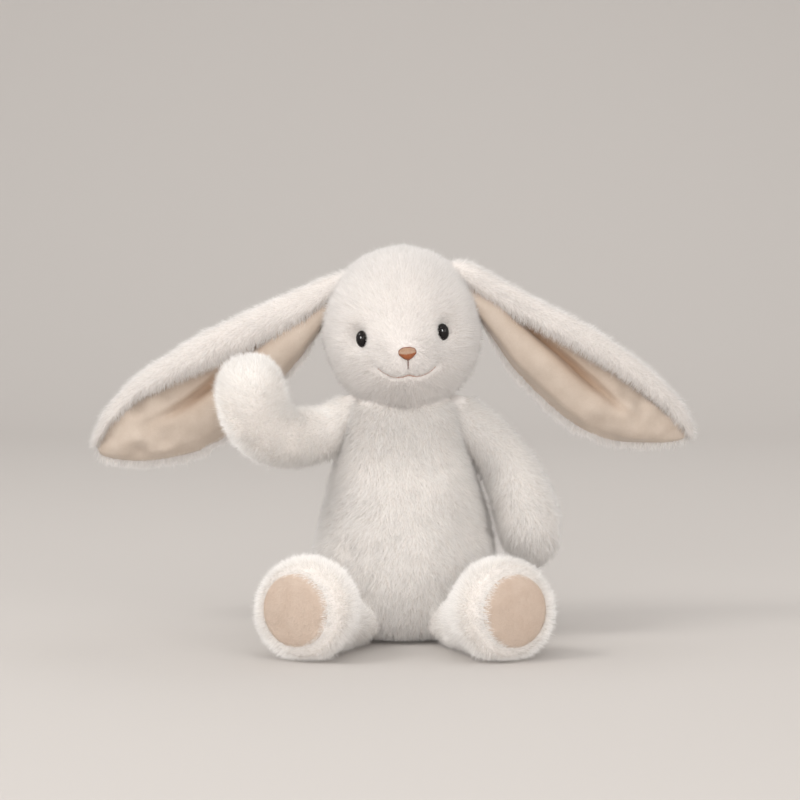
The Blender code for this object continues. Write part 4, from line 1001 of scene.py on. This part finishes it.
for side, seed in (("left", 601), ("right", 631)):
    pts, nrm, downs, bends, us = ear_lines(EARS[side])
    m, n = pts.shape[:2]
    flat = pts.reshape(-1, 3)
    wob = (0.7 * noise(flat, 24.0, seed) + 0.35 * noise(flat, 10.0, seed + 2)).reshape(m, n, 1)
    pts = pts + nrm * wob
    outer_pts, inner_pts = pts + nrm * 0.9, pts - nrm * 0.5
    skin, verts, faces = panel("ear_%s_panel" % side, outer_pts, inner_pts, BACKING)
    # lining: inside face, with a lengthwise tuck and soft folds
    jj = np.linspace(0, 1, n)[None, :, None]
    uu = us[:, None, None]
    lo, hi = 1, n - 1
    stand = smooth(0.34, 0.46, jj) * np.minimum(1.0, bends / 5.0)[:, None, None]
    valley = 0.505 + 0.165 * uu
    reach = smooth(0.03, 0.10, uu) * smooth(0.76, 0.56, uu)
    crease = np.exp(-((jj - valley) / 0.030) ** 2) * reach
    pillow = smooth(0.0, 0.09, jj - valley) * reach * (1.0 - 0.35 * uu)
    puff = 2.6 * np.exp(-((jj - (0.80 - 0.04 * uu)) / 0.12) ** 2) * smooth(0.05, 0.3, uu) * smooth(1.0, 0.75, uu)
    ripple = (1.0 * noise(flat, 11.0, seed + 4) + 1.9 * noise(flat, 24.0, seed + 5)).reshape(m, n, 1)
    pucker = (3.6 * noise(flat, 9.0, seed + 6)).reshape(m, n, 1) * smooth(0.58, 0.72, uu) * smooth(1.0, 0.92, uu)
    ledge = smooth(0.02, -0.03, jj - valley) * reach
    gap = 0.5 + stand * smooth(1.0, 0.86, jj) * np.clip(3.8 + puff + 5.0 * pillow - 7.0 * crease - 1.4 * ledge + ripple + pucker, 0.0, 12.5)
    # the lining stays clear of the lip that hangs in front of it
    below = ((pts - pts[:, :1]) * downs).sum(2)[:, :, None]
    deep = np.maximum(0.5, 2 * bends - 4.5)[:, None, None]
    gap = np.minimum(gap, deep + np.maximum(0.0, 13.0 - deep) * smooth(0.5, 9.0, below))
    # painted shade for the lining's colour: darkest in the crease, fading over the pillow below it, and just under the
    # lip's edge, where shade falls
    fold_shade = np.clip(0.9 * np.exp(-((jj - valley) / 0.036) ** 2) + 0.6 * smooth(0.17, 0.0, jj - valley) * (jj >= valley) + 0.25 * ledge, 0.0, 1.0) * reach
    fold_shade = np.maximum(fold_shade, 0.75 * smooth(6.5, 0.5, below) * smooth(0.03, 0.08, uu) * smooth(0.85, 0.45, uu))
    lin_top = (pts - nrm * (gap + 0.9))[2:m - 2, lo:hi]
    lin_bot = (pts - nrm * 0.75)[2:m - 2, lo:hi]
    lining, lv, lf = panel("ear_%s_velour" % side, lin_top, lin_bot, LINING)
    layer = lining.data.attributes.new("fold_shade", 'FLOAT', 'POINT')
    layer.data.foreach_set("value", np.tile(fold_shade[2:m - 2, lo:hi].ravel(), 2).astype(np.float32))
    # pile on the outside, over both edges and round the tip
    i, j = np.meshgrid(np.arange(m - 1), np.arange(n - 1), indexing="ij")
    i, j = i.ravel(), j.ravel()
    tri = np.vstack([np.stack([i * n + j, i * n + j + 1, (i + 1) * n + j + 1], 1), np.stack([i * n + j, (i + 1) * n + j + 1, (i + 1) * n + j], 1)])
    ov = outer_pts.reshape(-1, 3)
    es = Surf(ov, tri)
    if (es.n * nrm.reshape(-1, 3)).sum() < 0:
        es = Surf(ov, tri[:, ::-1])
    axis = unit(np.gradient(pts, axis=0)).reshape(-1, 3)
    jflat = np.tile(np.arange(n) / (n - 1.0), m)
    uflat = np.repeat(us, n)
    edge_b = smooth(0.80, 0.97, jflat)
    edge_l = smooth(0.10, 0.0, jflat)
    es.flow = axis * (1 - 0.85 * np.maximum(edge_b, edge_l))[:, None] + downs.reshape(-1, 3) * (0.35 + 1.0 * edge_b + 0.9 * edge_l)[:, None]
    es.len = 5.8 * (0.9 + 0.1 * smooth(0.0, 0.2, uflat))
    es.dens = 1.0 + 0.6 * np.maximum(edge_b, edge_l) + 0.6 * smooth(0.9, 1.0, uflat)
    pile = grow("ear_%s_pile" % side, es, 3.0, EAR_FUR, seed + 3, width=0.28, lean=0.85, clump=1.8, pull=0.34)
    # fringe along the two free edges and the tip
    strip = []
    for cols in ((n - 4, n - 3, n - 2, n - 1), (3, 2, 1, 0)):
        strip.append((inner_pts[:, list(cols)], downs[:, list(cols)]))
    fringe = []
    for tag, (sp, sd) in zip(("edge", "lip"), strip):
        verts, faces = grid(sp, False)
        fs = Surf(verts, faces)
        if (fs.n * -nrm[:, [n - 2] * 4 if tag == "edge" else [1] * 4].reshape(-1, 3)).sum() < 0:
            fs = Surf(verts, faces[:, ::-1])
        fs.flow = sd.reshape(-1, 3) + 0.7 * axis.reshape(m, n, 3)[:, :4].reshape(-1, 3)
        fs.len = np.full(len(verts), 6.2 if tag == "edge" else 5.6)
        fringe += grow("ear_%s_fringe_%s" % (side, tag), fs, 6.4 if tag == "edge" else 3.8, EAR_FUR, seed + 17 + len(fringe), width=0.28, lean=1.10, clump=2.4, pull=0.42, swirl=0.9, jitter=0.40)
    for ob, slot in [(skin, "ear_plush"), (lining, "lining_cream")] + [(q, "ear_plush") for q in pile + fringe]:
        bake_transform(ob)
    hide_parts("ear_%s_outer" % side)
    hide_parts("ear_%s_lining" % side)

# ------------------------------------------------- solids kept from the frame
for node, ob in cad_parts.items():
    mat = FIBRE if node.endswith("stuffing") else POUCH if node == "bean_bag" else PLASTIC if node.startswith("eye_washer") else None
    if mat is not None:
        ob.data.materials.clear()
        ob.data.materials.append(mat)

# --------------------------------------------------------------------- stage
def area_light(name, place, aim, power, size, colour):
    data = bpy.data.lights.new(name, 'AREA')
    data.energy = power
    data.shape = 'RECTANGLE'
    data.size, data.size_y = size
    data.color = colour
    ob = bpy.data.objects.new(name, data)
    bpy.context.scene.collection.objects.link(ob)
    ob.location = place
    ob.rotation_mode = 'QUATERNION'
    ob.rotation_quaternion = (Vector(aim) - Vector(place)).to_track_quat('-Z', 'Y')
    ob.visible_camera = False
    return ob


area_light("key", (-1.15, -0.60, 1.50), (0, 0, 0.11), 10.9, (0.6, 0.6), (1.0, 0.97, 0.93))
area_light("front", (-0.55, -1.9, 0.72), (0, 0, 0.12), 6.6, (1.1, 0.8), (1.0, 0.97, 0.94))
area_light("fill", (1.25, -1.35, 0.70), (0, 0, 0.11), 6.2, (1.0, 0.8), (1.0, 0.96, 0.92))
area_light("bounce", (0.0, -1.6, 0.34), (0, 0, 0.12), 3.4, (1.3, 0.3), (1.0, 0.96, 0.93))
area_light("top", (0.0, -0.2, 1.9), (0, 0, 0.12), 1.3, (0.8, 0.8), (1.0, 0.97, 0.94))
area_light("back", (0.4, 1.3, 1.7), (0, 0, 0.12), 6.0, (1.0, 1.0), (1.0, 0.98, 0.96))
catch = area_light("catchlight", (-0.42, -1.5, 0.62), (0, 0, 0.18), 26.0, (0.42, 0.42), (1.0, 1.0, 1.0))
catch.visible_diffuse = False
world = bpy.data.worlds.new("studio")
bpy.context.scene.world = world
world.use_nodes = True
world.node_tree.nodes["Background"].inputs["Color"].default_value = (0.95, 0.93, 0.91, 1)
world.node_tree.nodes["Background"].inputs["Strength"].default_value = 0.86

floor_mat, tree, bsdf = new_material("studio_floor")
bsdf.inputs["Base Color"].default_value = (0.56, 0.535, 0.515, 1)
bsdf.inputs["Roughness"].default_value = 0.85
bsdf.inputs["Specular IOR Level"].default_value = 0.2
prof = [(-4000.0, 0.0), (1400.0, 0.0)]
for a_ in np.linspace(0, math.pi / 2, 24)[1:]:
    prof.append((1400 + 900 * math.sin(a_), 900 - 900 * math.cos(a_)))
prof.append((2300.0, 3500.0))
xs = np.array((-5000.0, 5000.0))
rows = np.array([[(x, y, z) for x in xs] for y, z in prof])
verts, faces = grid(rows, False)
floor_ob = add_mesh("studio_floor", verts, faces, floor_mat)
floor_ob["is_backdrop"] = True

cam_data = bpy.data.cameras.new("camera")
cam = bpy.data.objects.new("camera", cam_data)
bpy.context.scene.collection.objects.link(cam)
cam_data.sensor_width = 36.0
cam_data.lens = 112.77
cam_data.clip_start, cam_data.clip_end = 0.05, 50.0
place, aim = Vector((-0.0024, -1.5, 0.245)), Vector((-0.0024, 0.0, 0.141))
cam.location = place
cam.rotation_mode = 'QUATERNION'
cam.rotation_quaternion = (aim - place).to_track_quat('-Z', 'Y')
bpy.context.scene.camera = cam
bpy.context.scene.view_settings.view_transform = 'Standard'
bpy.context.scene.cycles.max_bounces = 12
bpy.context.scene.cycles.diffuse_bounces = 8

lo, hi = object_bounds()
